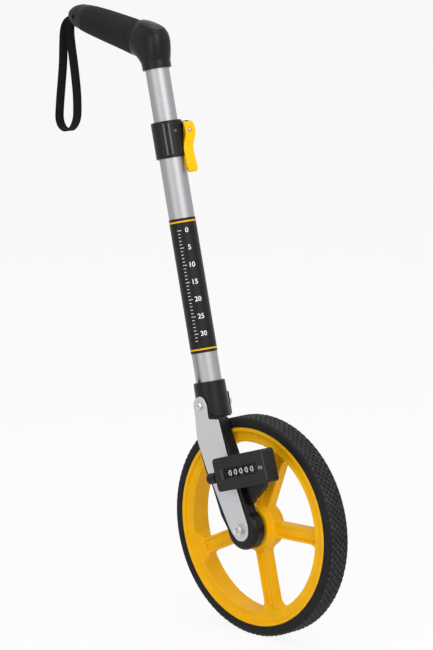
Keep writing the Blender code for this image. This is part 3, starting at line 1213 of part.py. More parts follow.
def worm_thread():
    """Shaft with a single right-handed thread, its crest under the wheel at the drum axis."""
    lead = 2 * pi * WORM_WHEEL_PITCH_RADIUS / WORM_WHEEL_TEETH
    sides = SIDES_TINY
    steps = 18
    start = DRUM_AXIS_BACK - WORM_LENGTH / 2
    bm = bmesh.new()
    rings = []
    for k in range(steps + 1):
        along = start + WORM_LENGTH * k / steps
        ring_verts = []
        for i in range(sides):
            turn = 2 * pi * i / sides
            phase = ((along - DRUM_AXIS_BACK) / lead - turn / (2 * pi) + 0.5) % 1.0 - 0.5
            height = min(max(1.35 - 5.0 * abs(phase), 0.0), 1.0)
            if k in (0, steps):
                height = 0.0
            radius = WORM_ROOT_RADIUS + (WORM_RADIUS - WORM_ROOT_RADIUS) * height
            ring_verts.append(bm.verts.new(axis_point("Y", radius, turn, along)))
        rings.append(ring_verts)
    for along in (start + WORM_LENGTH, PULLEY_FACE + PULLEY_WIDTH):
        rings.append([bm.verts.new(axis_point("Y", WORM_SHAFT_RADIUS, 2 * pi * i / sides, along))
                      for i in range(sides)])
    for first, second in zip(rings, rings[1:]):
        for i in range(sides):
            j = (i + 1) % sides
            bm.faces.new((first[i], first[j], second[j], second[i]))
    bm.faces.new(rings[0])
    bm.faces.new(reversed(rings[-1]))
    return bm


def reset_knob(lines):
    """Ribbed knob at the counter's rear end, on a short shaft."""
    line = lines["counter"]
    left = -COUNTER_LENGTH / 2
    knob_start = left - RESET_KNOB_GAP
    knob_end = knob_start - RESET_KNOB_LENGTH
    place = (0.0, RESET_BACK, -RESET_DOWN)
    collar = 2 * RESET_SHAFT_RADIUS
    shaft = shank("X", SIDES_SMALL,
                  (RESET_SHAFT_RADIUS, knob_end + RESET_KNOB_GAP, knob_start + GAP),
                  (collar, knob_start + GAP, left - GAP),
                  (RESET_SHAFT_RADIUS, left - GAP, left + COUNTER_WALL + RESET_SHAFT_INSIDE))
    add("reset_shaft", shaft, "dark_plastic", line, place)
    outline = []
    for i in range(RESET_KNOB_RIBS):
        for share, radius in ((0.0, RESET_KNOB_RADIUS), (0.5, RESET_KNOB_RADIUS),
                              (0.62, RESET_KNOB_RADIUS - RESET_KNOB_RIB_DEPTH),
                              (0.88, RESET_KNOB_RADIUS - RESET_KNOB_RIB_DEPTH)):
            turn = 2 * pi * (i + share) / RESET_KNOB_RIBS
            outline.append((radius * cos(turn), radius * sin(turn)))
    knob = add("reset_knob", prism(outline, knob_end, knob_start, "X"), "dark_plastic", line, place)
    bore = rod(RESET_SHAFT_RADIUS + GAP, knob_end + RESET_KNOB_GAP - GAP, knob_start + OVERRUN, SIDES_SMALL, "X")
    cut(knob, guide("knob_bore", bore, line, place))


def main():
    for obj in list(bpy.data.objects):
        bpy.data.objects.remove(obj, do_unlink=True)
    lines = main_lines()
    handle_body(lines)
    grip_pieces(lines)
    upper_tube(lines)
    wrist_strap()
    lower_tube(lines)
    clamp_collar(lines)
    cam_lever(lines)
    side_arm(lines)
    plates(lines)
    socket_bolt(lines)
    wheel(lines)
    axle(lines)
    belt_drive(lines)
    counter_case(lines)
    counter_works(lines)
    reset_knob(lines)


main()
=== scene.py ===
"""Measuring wheel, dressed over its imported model: a wheel that rolls one metre in a turn,
a counter beside it, and a telescoping handle with a soft grip and a wrist strap.

Laid out as a Blender add-on and run as a script. All lengths are in metres, +X is the
walking direction, +Z is up and the origin is the middle of the grip.
"""
from math import asin, atan2, cos, hypot, pi, radians, sin, tan

import bmesh
import bpy
from bpy.props import FloatProperty, FloatVectorProperty, IntProperty, PointerProperty
from mathutils import Matrix, Vector


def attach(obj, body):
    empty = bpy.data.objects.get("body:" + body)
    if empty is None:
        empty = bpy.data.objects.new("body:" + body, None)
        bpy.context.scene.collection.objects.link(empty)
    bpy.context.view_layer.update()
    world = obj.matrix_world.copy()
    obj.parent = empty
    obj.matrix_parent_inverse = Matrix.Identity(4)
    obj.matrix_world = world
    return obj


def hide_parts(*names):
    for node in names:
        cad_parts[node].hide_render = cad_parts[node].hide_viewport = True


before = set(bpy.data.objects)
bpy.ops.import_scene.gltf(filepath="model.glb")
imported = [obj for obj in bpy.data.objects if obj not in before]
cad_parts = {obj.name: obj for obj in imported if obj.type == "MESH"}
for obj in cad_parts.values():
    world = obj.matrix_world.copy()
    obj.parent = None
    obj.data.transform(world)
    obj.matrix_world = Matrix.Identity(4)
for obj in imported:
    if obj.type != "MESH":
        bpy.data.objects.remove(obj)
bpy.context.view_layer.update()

bl_info = {
    "name": "Measuring wheel",
    "version": (1, 0, 0),
    "blender": (4, 5, 0),
    "location": "View3D > Sidebar > Measuring wheel",
    "description": "Builds the visible pieces and the finishes of a measuring wheel",
    "category": "Object",
}

# Lines of the handle, the tubes and the wheel
HANDLE_FALL = radians(11.0)
GRIP_REACH = 0.095
TUBE_LEAN = radians(13.67)
AXLE_DOWN = 0.707
AXLE_FORWARD = 0.0407
WHEEL_OFFSET = 0.015
SOCKET_BOLT_DOWN = 0.525
CLAMP_TURN = radians(71.0)
COUNTER_PLACE = (0.0219, 0.0935)
COUNTER_TILT = radians(17.5)

GAP = 0.0003

# How far a cutting tool reaches where it goes right through, and how far it passes a face it opens
DEEP_CUT = 0.1
ACROSS = (-DEEP_CUT, DEEP_CUT)
OVERRUN = 0.002

# Radii of holes and of the room for screw heads
SCREW_HOLE, SCREW_ROOM = 0.0019, 0.0037
CLAMP_HOLE, BOLT_HOLE, AXLE_HOLE = 0.0023, 0.0033, 0.0043
WORM_HOLE, STEM_HOLE, RESET_HOLE = 0.0021, 0.0121, 0.0028
PLATE_WASHER = 0.0012

# Number of sides of turned pieces
SIDES_SCREW = 40
SIDES_TUBE = 96
SIDES_WHEEL = 288


def line(place, turn, axis="Y"):
    return Matrix.Translation(place) @ Matrix.Rotation(turn, 4, axis)


def at(place, x=0.0, y=0.0, z=0.0):
    """A place moved along its own axes."""
    return place @ Matrix.Translation((x, y, z))


ELBOW_PLACE = Vector((GRIP_REACH * cos(HANDLE_FALL), 0.0, -GRIP_REACH * sin(HANDLE_FALL)))
AXLE_PLACE = ELBOW_PLACE + Matrix.Rotation(-TUBE_LEAN, 3, "Y") @ Vector((AXLE_FORWARD, 0.0, -AXLE_DOWN))
HANDLE = line((0.0, 0.0, 0.0), HANDLE_FALL)
TUBE = line(ELBOW_PLACE, -TUBE_LEAN)
CLAMP = TUBE @ Matrix.Rotation(CLAMP_TURN, 4, "Z")
SIDE = line(AXLE_PLACE, -(TUBE_LEAN + atan2(AXLE_FORWARD, AXLE_DOWN - SOCKET_BOLT_DOWN)))
SOCKET_BOLT = at(TUBE, z=-SOCKET_BOLT_DOWN)
AXLE = line(AXLE_PLACE, 0.0)
WHEEL = line(AXLE_PLACE + Vector((0.0, WHEEL_OFFSET, 0.0)), 0.0)
COUNTER = line(AXLE_PLACE + Vector((COUNTER_PLACE[0], 0.0, COUNTER_PLACE[1])), -COUNTER_TILT)
SIDE_LENGTH = hypot(AXLE_DOWN - SOCKET_BOLT_DOWN, AXLE_FORWARD)


# Sizes and colours that a user would change

def colour_of(name, covers, default):
    return FloatVectorProperty(name=name, description="Colour of " + covers, subtype="COLOR", size=3, min=0.0,
                               max=1.0, default=default)


def length_of(name, description, default, low, high):
    return FloatProperty(name=name, description=description, default=default, min=low, max=high, unit="LENGTH")


class FinishColours(bpy.types.PropertyGroup):
    yellow: colour_of("Yellow", "the wheel and the lever", (0.91, 0.475, 0.0015))
    black: colour_of("Black", "the moulded black pieces", (0.0065, 0.0065, 0.0072))
    grip: colour_of("Grip", "the soft grip", (0.014, 0.0135, 0.014))
    tyre: colour_of("Tyre", "the tyre's rubber", (0.010, 0.010, 0.0105))
    silver: colour_of("Silver", "the aluminium tubes", (0.35, 0.35, 0.362))


class TreadSizes(bpy.types.PropertyGroup):
    columns: IntProperty(name="Columns", description="Tread blocks in one turn of the tyre",
                         default=104, min=20, max=240)
    rows: IntProperty(name="Rows", description="Rows of tread blocks across the tyre",
                      default=7, min=3, max=12)
    height: length_of("Height", "How far the blocks stand out of the casing", 0.0011, 0.0002, 0.003)
    seed: IntProperty(name="Seed", description="Seed of the blocks' small turns", default=7, min=0)


class HandleSizes(bpy.types.PropertyGroup):
    pebble_spacing: length_of("Pebble spacing", "Least distance between pebbles", 0.0021, 0.001, 0.01)
    pebble_size: length_of("Pebble size", "Radius of one pebble of the grip", 0.0011, 0.0003, 0.003)
    rib_pitch: length_of("Strap rib pitch", "Distance between the webbing's ribs", 0.0016, 0.0008, 0.005)


class LabelSizes(bpy.types.PropertyGroup):
    tick_pitch: length_of("Tick pitch", "Distance between the printed ticks", 0.005, 0.001, 0.02)
    tick_count: IntProperty(name="Ticks", description="Number of printed ticks", default=33, min=3, max=200)


# Finishes

def node(tree, kind, feeds=None, **values):
    """A node with its settings, and its inputs fed by sockets or by plain values."""
    made = tree.nodes.new(kind)
    for name, value in values.items():
        setattr(made, name, value)
    for name, feed in (feeds or {}).items():
        if isinstance(feed, bpy.types.NodeSocket):
            tree.links.new(feed, made.inputs[name])
        else:
            made.inputs[name].default_value = feed
    return made


def math(tree, operation, first, second=0.0):
    """A math node fed by sockets or plain values."""
    return node(tree, "ShaderNodeMath", {0: first, 1: second}, operation=operation).outputs["Value"]


def new_material(name, colour, roughness, metallic=0.0, gloss=0.5):
    """A material with an even start: colour, roughness, metallic and gloss on the shader itself."""
    material = bpy.data.materials.new(name)
    material.use_nodes = True
    shader = material.node_tree.nodes["Principled BSDF"]
    shader.inputs["Base Color"].default_value = (*colour, 1.0)
    shader.inputs["Roughness"].default_value = roughness
    shader.inputs["Metallic"].default_value = metallic
    shader.inputs["Specular IOR Level"].default_value = gloss
    return material, material.node_tree, shader


def coordinates(tree, scale=(1.0, 1.0, 1.0), uv=False):
    """Object or UV coordinates, scaled along each axis."""
    source = node(tree, "ShaderNodeTexCoord").outputs["UV" if uv else "Object"]
    return node(tree, "ShaderNodeMapping", {"Vector": source, "Scale": scale}).outputs["Vector"]


def noise(tree, vector, scale, detail=4.0, roughness=0.55):
    return node(tree, "ShaderNodeTexNoise", {"Vector": vector, "Scale": scale, "Detail": detail,
                                             "Roughness": roughness}).outputs["Fac"]


def blend_colours(tree, factor, dark, light, low=0.35, high=0.65):
    """A ramp between two colours, laid on a factor."""
    ramp = node(tree, "ShaderNodeValToRGB", {"Fac": factor})
    for element, position, colour in zip(ramp.color_ramp.elements, (low, high), (dark, light)):
        element.position = position
        element.color = (*colour, 1.0)
    return ramp.outputs["Color"]


def spread(tree, factor, low, high):
    """A factor spread between two values."""
    return node(tree, "ShaderNodeMapRange", {"Value": factor, "To Min": low, "To Max": high}).outputs["Result"]


def emboss(tree, shader, height, depth):
    """Bump on the shader's normal."""
    bump = node(tree, "ShaderNodeBump", {"Distance": depth, "Height": height})
    tree.links.new(bump.outputs["Normal"], shader.inputs["Normal"])


def dress(tree, shader, colour, roughness):
    """Lay a colour and a roughness on the shader."""
    tree.links.new(colour, shader.inputs["Base Color"])
    tree.links.new(roughness, shader.inputs["Roughness"])


def shade(colour, factor):
    return tuple(min(c * factor, 1.0) for c in colour)


def plastic(name, colour, roughness, vary=0.12, grain=900.0, depth=0.00008, gloss=0.2):
    """Moulded plastic: faint clouds of colour, uneven sheen and a fine moulded grain."""
    material, tree, shader = new_material(name, colour, roughness, gloss=gloss)
    place = coordinates(tree)
    clouds = noise(tree, place, 35.0)
    dress(tree, shader, blend_colours(tree, clouds, shade(colour, 1.0 - vary), shade(colour, 1.0 + vary)),
          spread(tree, noise(tree, place, 140.0), roughness - 0.06, roughness + 0.08))
    emboss(tree, shader, noise(tree, place, grain, 2.0), depth)
    return material


def metal(name, colour, roughness, along=(1.0, 1.0, 1.0), depth=0.00003, metallic=1.0, grain=600.0, vary=0.05):
    """Drawn or plated metal, its fine lines stretched along one direction."""
    material, tree, shader = new_material(name, colour, roughness, metallic)
    lines = noise(tree, coordinates(tree, along), grain, 3.0)
    dress(tree, shader, blend_colours(tree, lines, shade(colour, 1.0 - vary), shade(colour, 1.0 + vary)),
          spread(tree, lines, roughness - vary, roughness + vary))
    emboss(tree, shader, lines, depth)
    return material


def rubber(name, colour, roughness, pores, depth, dust=0.0):
    """Matte rubber with pores, and a pale bloom where it has been handled or has rolled."""
    material, tree, shader = new_material(name, colour, roughness, gloss=0.15)
    place = coordinates(tree)
    patches = noise(tree, place, 60.0, 6.0, 0.7)
    light = tuple(c * 1.35 + dust for c in colour)
    dress(tree, shader, blend_colours(tree, patches, shade(colour, 0.8), light),
          spread(tree, patches, roughness - 0.08, min(roughness + 0.1, 1.0)))
    emboss(tree, shader, noise(tree, place, pores, 3.0, 0.65), depth)
    return material


def webbing(name, colour):
    """Plain woven webbing on the piece's own UV map: one rib for each unit of U, ten yarns across V."""
    material, tree, shader = new_material(name, colour, 0.9, gloss=0.1)
    yarns = [node(tree, "ShaderNodeTexWave", {"Scale": 1.0, "Vector": coordinates(tree, scale, True)},
                  wave_type="BANDS", bands_direction=axis, wave_profile="SIN").outputs["Fac"]
             for axis, scale in (("X", (pi / 10, 1.0, 1.0)), ("Y", (1.0, pi, 1.0)))]
    weave = math(tree, "MULTIPLY", *yarns)
    tree.links.new(blend_colours(tree, weave, shade(colour, 0.55), shade(colour, 1.7), 0.0, 0.9),
                   shader.inputs["Base Color"])
    emboss(tree, shader, weave, 0.0004)
    shader.inputs["Sheen Weight"].default_value = 0.05
    shader.inputs["Sheen Roughness"].default_value = 0.5
    return material


def clear_pane(name, colour):
    """Clear moulded pane over the digits."""
    material, tree, shader = new_material(name, colour, 0.10)
    shader.inputs["Alpha"].default_value = 0.07
    tree.links.new(spread(tree, noise(tree, coordinates(tree), 250.0), 0.04, 0.12), shader.inputs["Roughness"])
    return material


MATERIALS = {}


def make_finishes(colours):
    """All finishes, by the name of what they cover: their maker, colour and settings."""
    yellow, black = tuple(colours.yellow), tuple(colours.black)
    silver, tyre = tuple(colours.silver), tuple(colours.tyre)
    bright_yellow = (min(yellow[0] * 1.06, 0.97), yellow[1] * 1.10, yellow[2])
    even = (1.0, 1.0, 1.0)
    for name, (maker, *values) in {
        "wheel_yellow": (plastic, yellow, 0.42, 0.04, 700.0, 0.00006, 0.15),
        "lever_yellow": (plastic, bright_yellow, 0.42, 0.03, 700.0, 0.00005, 0.12),
        "black_moulding": (plastic, black, 0.30, 0.2, 1100.0, 0.00006, 0.20),
        "clamp_black": (plastic, shade(black, 1.2), 0.38, 0.2, 900.0, 0.00008),
        # Light grey on the clamp's ribs and small screw and on the counter's thin lines: a painted highlight where
        # edges catch the light. On the small screw it is partly the screw's own dark grey and partly painted
        # highlight.
        "rib_grey": (plastic, (0.13, 0.13, 0.135), 0.45, 0.1, 900.0, 0.00005),
        "counter_black": (plastic, shade(black, 2.0), 0.42, 0.15, 1500.0, 0.0001),
        "drum_black": (plastic, shade(black, 0.5), 0.4, 0.12, 900.0, 0.00008, 0.1),
        "cap_grey": (plastic, shade(black, 2.0), 0.5, 0.15, 1300.0, 0.0001),
        "print_white": (plastic, (0.92, 0.92, 0.92), 0.5, 0.03),
        "print_yellow": (plastic, yellow, 0.45, 0.05),
        "mark_grey": (plastic, (0.50, 0.50, 0.51), 0.5, 0.05),
        "label_black": (plastic, black, 0.38, 0.15, 1600.0, 0.00004),
        "grip_rubber": (rubber, tuple(colours.grip), 0.72, 1400.0, 0.00022),
        "tyre_rubber": (rubber, tyre, 0.60, 700.0, 0.00006),
        "tread_rubber": (rubber, shade(tyre, 2.8), 0.7, 900.0, 0.0002, 0.014),
        "belt_rubber": (rubber, shade(tyre, 1.2), 0.8, 900.0, 0.0001),
        "strap_webbing": (webbing, (0.0065, 0.0065, 0.0065)),
        "tube_silver": (metal, silver, 0.44, (1.0, 1.0, 0.02), 0.000006, 1.0, 3000.0, 0.02),
        "plate_silver": (metal, shade(silver, 1.62), 0.50, (1.0, 1.0, 0.05), 0.00001, 0.75, 2500.0, 0.02),
        "screw_zinc": (metal, (0.62, 0.62, 0.62), 0.28, even, 0.00002, 1.0, 300.0),
        "works_steel": (metal, (0.46, 0.46, 0.48), 0.3),
        "works_brass": (metal, (0.66, 0.46, 0.18), 0.3),
        "counter_pane": (clear_pane, (0.05, 0.05, 0.055)),
    }.items():
        MATERIALS[name] = maker(name, *values)


# Mesh tools

def build(name, bm, finish, place=None, smooth=radians(40.0)):
    """An object at the origin, its place in its mesh, from a bmesh in a line's own frame.

    The finish is a name or a material."""
    bmesh.ops.remove_doubles(bm, verts=bm.verts, dist=1e-6)
    bmesh.ops.recalc_face_normals(bm, faces=bm.faces)
    if place is not None:
        bm.transform(place)
    mesh = bpy.data.meshes.new(name)
    bm.to_mesh(mesh)
    bm.free()
    mesh.shade_smooth()
    mesh.set_sharp_from_angle(angle=smooth)
    obj = bpy.data.objects.new(name, mesh)
    bpy.context.scene.collection.objects.link(obj)
    if finish:
        mesh.materials.append(MATERIALS[finish] if isinstance(finish, str) else finish)
    return obj


def settle(obj):
    """Turn an object and its modifiers into a plain mesh."""
    depsgraph = bpy.context.evaluated_depsgraph_get()
    depsgraph.update()
    mesh = bpy.data.meshes.new_from_object(obj.evaluated_get(depsgraph), depsgraph=depsgraph)
    old = obj.data
    obj.modifiers.clear()
    obj.data = mesh
    mesh.name = obj.name
    bpy.data.meshes.remove(old)
    return obj


def shape(obj, operation, *others):
    """Cut, join or trim with other objects, or with closed shapes and their places. They are used up."""
    others = [other if isinstance(other, bpy.types.Object)
              else build("tool", other[0], obj.data.materials[0], other[1]) for other in others]
    for other in others:
        modifier = obj.modifiers.new(other.name, "BOOLEAN")
        modifier.operation = operation
        modifier.solver = "EXACT"
        modifier.object = other
    settle(obj)
    for other in others:
        bpy.data.objects.remove(other, do_unlink=True)
    return obj


def cut(obj, *others):
    return shape(obj, "DIFFERENCE", *others)


def join(obj, *others):
    return shape(obj, "UNION", *others)


def soften(obj, width, segments=2, angle=radians(38.0)):
    """Round the sharp edges a little, so that they catch the light."""
    bevel = obj.modifiers.new("edges", "BEVEL")
    bevel.width = width
    bevel.segments = segments
    bevel.limit_method = "ANGLE"
    bevel.angle_limit = angle
    bevel.use_clamp_overlap = True
    obj.data.shade_smooth()
    normals = obj.modifiers.new("normals", "WEIGHTED_NORMAL")
    normals.keep_sharp = False
    normals.weight = 80
    return settle(obj)


def merge(obj, *others):
    """Add other objects' faces to one, materials included."""
    bm = bmesh.new()
    bm.from_mesh(obj.data)
    for other in others:
        slots = []
        for material in other.data.materials:
            if material.name not in [m.name for m in obj.data.materials]:
                obj.data.materials.append(material)
            slots.append([m.name for m in obj.data.materials].index(material.name))
        start = len(bm.faces)
        bm.from_mesh(other.data)
        bm.faces.ensure_lookup_table()
        for face in bm.faces[start:]:
            face.material_index = slots[face.material_index] if slots else 0
        bpy.data.objects.remove(other, do_unlink=True)
    bm.to_mesh(obj.data)
    bm.free()
    return obj


def show(obj, body, *nodes, slot=None):
    """The piece rides on a body and stands for the nodes."""
    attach(obj, body)
    if nodes:
        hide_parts(*nodes)
    return obj


def axis_point(axis, radius, turn, along):
    a, b = radius * cos(turn), radius * sin(turn)
    if axis == "X":
        return Vector((along, a, b))
    if axis == "Y":
        return Vector((b, along, a))
    return Vector((a, b, along))


def turned(profile, sides, axis="Z"):
    """Turn an outline of (radius, along) points: open ends on the axis, or a closed ring."""
    bm = bmesh.new()
    solid = profile[0][0] == 0.0
    outline = profile[1:-1] if solid else profile
    rings = [[bm.verts.new(axis_point(axis, radius, 2 * pi * i / sides, along)) for i in range(sides)]
             for radius, along in outline]
    pairs = list(zip(rings, rings[1:]))
    if solid:
        bm.faces.new(rings[0])
        bm.faces.new(reversed(rings[-1]))
    else:
        pairs.append((rings[-1], rings[0]))
    for first, second in pairs:
        for i in range(sides):
            j = (i + 1) % sides
            bm.faces.new((first[i], first[j], second[j], second[i]))
    return bm


def rod(radius, start, end, sides=SIDES_SCREW, axis="Y"):
    return turned([(0.0, start), (radius, start), (radius, end), (0.0, end)], sides, axis)


def drill(radius, sides=SIDES_SCREW):
    return rod(radius, *ACROSS, sides)


def washer(outer, inner, start, end, edge=0.0002, axis="Y"):
    """A ring with its outer edges broken."""
    return turned([(inner, start), (outer - edge, start), (outer, start + edge), (outer, end - edge),
                   (outer - edge, end), (inner, end)], SIDES_TUBE, axis)


def pipe(outer, inner, start, end, edge=0.0004):
    """A tube along Z with its ends broken."""
    return washer(outer, inner, start, end, edge, "Z")


def prism(outline, start, end, axis="Y", draft=1.0):
    """Extrude an outline, its far end scaled by the draft about its own middle."""
    bm = bmesh.new()
    places = {"X": lambda p, s: (s, p[0], p[1]), "Y": lambda p, s: (p[0], s, p[1]),
              "Z": lambda p, s: (p[0], p[1], s)}[axis]
    middle = sum((Vector(p) for p in outline), Vector((0.0, 0.0))) / len(outline)
    far = [middle + (Vector(p) - middle) * draft for p in outline]
    low = [bm.verts.new(places(p, start)) for p in outline]
    high = [bm.verts.new(places(p, end)) for p in far]
    bm.faces.new(low)
    bm.faces.new(reversed(high))
    for i in range(len(outline)):
        j = (i + 1) % len(outline)
        bm.faces.new((low[i], high[i], high[j], low[j]))
    return bm


def move(obj, offset):
    obj.data.transform(Matrix.Translation(offset))
    return obj


def box(x_range, y_range, z_range):
    outline = [(x_range[0], z_range[0]), (x_range[1], z_range[0]),
               (x_range[1], z_range[1]), (x_range[0], z_range[1])]
    return prism(outline, *y_range)


def rounded(points, radii, steps=8):
    """Round the corners of an outline, each by its own radius or all by one."""
    if not isinstance(radii, (list, tuple)):
        radii = [radii] * len(points)
    outline = []
    count = len(points)
    for i, radius in enumerate(radii):
        corner = Vector(points[i])
        before = Vector(points[i - 1]) - corner
        after = Vector(points[(i + 1) % count]) - corner
        half = before.angle(after) / 2
        reach = min(radius / tan(half), before.length / 2, after.length / 2)
        if reach == 0.0:
            outline.append(tuple(corner))
            continue
        before.normalize()
        after.normalize()
        start, end = corner + before * reach, corner + after * reach
        centre = corner + (before + after).normalized() * reach / cos(half)
        first, last = start - centre, end - centre
        sweep = first.angle_signed(last)
        for k in range(steps + 1):
            outline.append(tuple(centre + Matrix.Rotation(-sweep * k / steps, 2) @ first))
    return [p for p, q in zip(outline, outline[1:] + outline[:1]) if (Vector(p) - Vector(q)).length > 1e-5]


def panel(left, right, low, high, radius, steps=8):
    return rounded([(left, low), (right, low), (right, high), (left, high)], radius, steps)


def hexagon(size):
    radius = size / cos(pi / 6)
    return [(radius * sin(pi * i / 3), radius * cos(pi * i / 3)) for i in range(6)]


def through(rows, steps):
    """A smooth curve through rows of numbers, the same number of steps between each pair."""
    last = len(rows) - 1
    result = []
    for i in range(last):
        around = [rows[min(max(k, 0), last)] for k in (i - 1, i, i + 1, i + 2)]
        for k in range(steps):
            t = k / steps
            result.append(tuple(0.5 * (2 * b + (c - a) * t + (2 * a - 5 * b + 4 * c - d) * t ** 2
                                       + (3 * b - a - 3 * c + d) * t ** 3)
                                for a, b, c, d in zip(*around)))
    result.append(tuple(rows[last]))
    return result


def loft(sections, sides=SIDES_TUBE):
    """Skin rings of (centre, out, upper, lower, side, squareness) sections, closed at both ends."""
    bm = bmesh.new()
    rings = []
    for centre, out, upper, lower, side, square in sections:
        power = 2.0 / square
        verts = []
        for i in range(sides):
            c, s = cos(2 * pi * i / sides), sin(2 * pi * i / sides)
            height = (upper if s > 0 else -lower) * abs(s) ** power
            width = (side if c > 0 else -side) * abs(c) ** power
            verts.append(bm.verts.new(centre + out * height + Vector((0.0, width, 0.0))))
        rings.append(verts)
    for first, second in zip(rings, rings[1:]):
        for i in range(sides):
            j = (i + 1) % sides
            bm.faces.new((first[i], first[j], second[j], second[i]))
    bm.faces.new(rings[0])
    bm.faces.new(reversed(rings[-1]))
    return bm


# Geometry Nodes

def new_tree(name, inputs):
    """An empty tree with a geometry input, named inputs and a geometry output."""
    tree = bpy.data.node_groups.new(name, "GeometryNodeTree")
    tree.interface.new_socket("Geometry", in_out="INPUT", socket_type="NodeSocketGeometry")
    for socket_name, kind, default in inputs:
        socket = tree.interface.new_socket(socket_name, in_out="INPUT", socket_type=kind)
        if default is not None:
            socket.default_value = default
    tree.interface.new_socket("Geometry", in_out="OUTPUT", socket_type="NodeSocketGeometry")
    return tree, node(tree, "NodeGroupInput"), node(tree, "NodeGroupOutput")


def finish_tree(tree, geometry, material, end):
    """Realize the instances and give them their material."""
    real = node(tree, "GeometryNodeRealizeInstances", {"Geometry": geometry})
    coat = node(tree, "GeometryNodeSetMaterial", {"Geometry": real.outputs["Geometry"], "Material": material})
    tree.links.new(coat.outputs["Geometry"], end.inputs["Geometry"])


def run_tree(name, tree, values, base=None):
    """Run a tree on an empty mesh or a base mesh, and return the plain mesh object it makes."""
    mesh = base.copy() if base else bpy.data.meshes.new(name)
    obj = bpy.data.objects.new(name, mesh)
    bpy.context.scene.collection.objects.link(obj)
    modifier = obj.modifiers.new(name, "NODES")
    modifier.node_group = tree
    for item in tree.interface.items_tree:
        if item.in_out == "INPUT" and item.name in values:
            modifier[item.identifier] = values[item.name]
    settle(obj)
    obj.data.shade_smooth()
    obj.data.set_sharp_from_angle(angle=radians(40.0))
    return obj


def points_at(tree, count, axes):
    """A number of points, their coordinates fed by name."""
    points = node(tree, "GeometryNodePoints", {"Count": count})
    place = node(tree, "ShaderNodeCombineXYZ", axes)
    return node(tree, "GeometryNodeSetPosition", {"Geometry": points.outputs["Points"],
                                                  "Position": place.outputs["Vector"]}).outputs["Geometry"]


def place_instances(tree, inputs, points, feeds):
    """Instances of the tree's piece on points, turned or stretched as they are fed."""
    piece = node(tree, "GeometryNodeObjectInfo", {"Object": inputs["Piece"]}).outputs["Geometry"]
    return node(tree, "GeometryNodeInstanceOnPoints", {"Points": points, "Instance": piece,
                                                       **feeds}).outputs["Instances"]


def turn_about(tree, axis, angle):
    return node(tree, "FunctionNodeAxisAngleToRotation", {"Axis": axis, "Angle": angle}).outputs["Rotation"]


def ring_tree():
    """Rows of a piece around the Y axis, every other row turned the other way, with small random turns."""
    tree, start, end = new_tree("rows_around_axis", (
        ("Piece", "NodeSocketObject", None), ("Columns", "NodeSocketInt", 12), ("Rows", "NodeSocketInt", 1),
        ("Radius", "NodeSocketFloat", 0.1), ("Row pitch", "NodeSocketFloat", 0.005),
        ("Skew", "NodeSocketFloat", 0.0), ("Jitter", "NodeSocketFloat", 0.0),
        ("Seed", "NodeSocketInt", 0), ("Material", "NodeSocketMaterial", None)))
    inputs = start.outputs
    index = node(tree, "GeometryNodeInputIndex").outputs["Index"]
    row = math(tree, "MODULO", index, inputs["Rows"])
    column = math(tree, "FLOOR", math(tree, "DIVIDE", index, inputs["Rows"]))
    odd = math(tree, "MODULO", row, 2.0)
    share = math(tree, "DIVIDE", math(tree, "ADD", column, math(tree, "MULTIPLY", odd, 0.5)),
                 inputs["Columns"])
    turn = math(tree, "MULTIPLY", share, 2 * pi)
    middle = math(tree, "MULTIPLY", math(tree, "SUBTRACT", inputs["Rows"], 1.0), 0.5)
    points = points_at(tree, math(tree, "MULTIPLY", inputs["Columns"], inputs["Rows"]), {
        "X": math(tree, "MULTIPLY", inputs["Radius"], math(tree, "SINE", turn)),
        "Y": math(tree, "MULTIPLY", math(tree, "SUBTRACT", row, middle), inputs["Row pitch"]),
        "Z": math(tree, "MULTIPLY", inputs["Radius"], math(tree, "COSINE", turn))})
    chance = node(tree, "FunctionNodeRandomValue", data_type="FLOAT")
    chance.inputs["Min"].default_value = -1.0
    tree.links.new(index, chance.inputs["ID"])
    tree.links.new(inputs["Seed"], chance.inputs["Seed"])
    side = math(tree, "SUBTRACT", math(tree, "MULTIPLY", odd, 2.0), 1.0)
    jitter = math(tree, "MULTIPLY", chance.outputs["Value"], inputs["Jitter"])
    twist = math(tree, "ADD", math(tree, "MULTIPLY", side, inputs["Skew"]), jitter)
    both = node(tree, "FunctionNodeRotateRotation",
                {"Rotation": turn_about(tree, (0.0, 1.0, 0.0), turn),
                 "Rotate By": turn_about(tree, (0.0, 0.0, 1.0), twist)}, rotation_space="LOCAL")
    finish_tree(tree, place_instances(tree, inputs, points, {"Rotation": both.outputs["Rotation"]}),
                inputs["Material"], end)
    return tree


def row_tree():
    """A piece repeated along the Z axis at one pitch, every fifth one in the longer form."""
    tree, start, end = new_tree("row_of_pieces", (
        ("Piece", "NodeSocketObject", None), ("Count", "NodeSocketInt", 10),
        ("Pitch", "NodeSocketFloat", 0.005), ("Long", "NodeSocketFloat", 1.6),
        ("Material", "NodeSocketMaterial", None)))
    inputs = start.outputs
    index = node(tree, "GeometryNodeInputIndex").outputs["Index"]
    down = math(tree, "MULTIPLY", index, math(tree, "MULTIPLY", inputs["Pitch"], -1.0))
    fifth = math(tree, "LESS_THAN", math(tree, "MODULO", index, 5.0), 0.5)
    stretch = math(tree, "ADD", 1.0, math(tree, "MULTIPLY", fifth,
                                          math(tree, "SUBTRACT", inputs["Long"], 1.0)))
    size = node(tree, "ShaderNodeCombineXYZ", {"X": 1.0, "Y": stretch, "Z": 1.0}).outputs["Vector"]
    finish_tree(tree, place_instances(tree, inputs, points_at(tree, inputs["Count"], {"Z": down}),
                                      {"Scale": size}), inputs["Material"], end)
    return tree


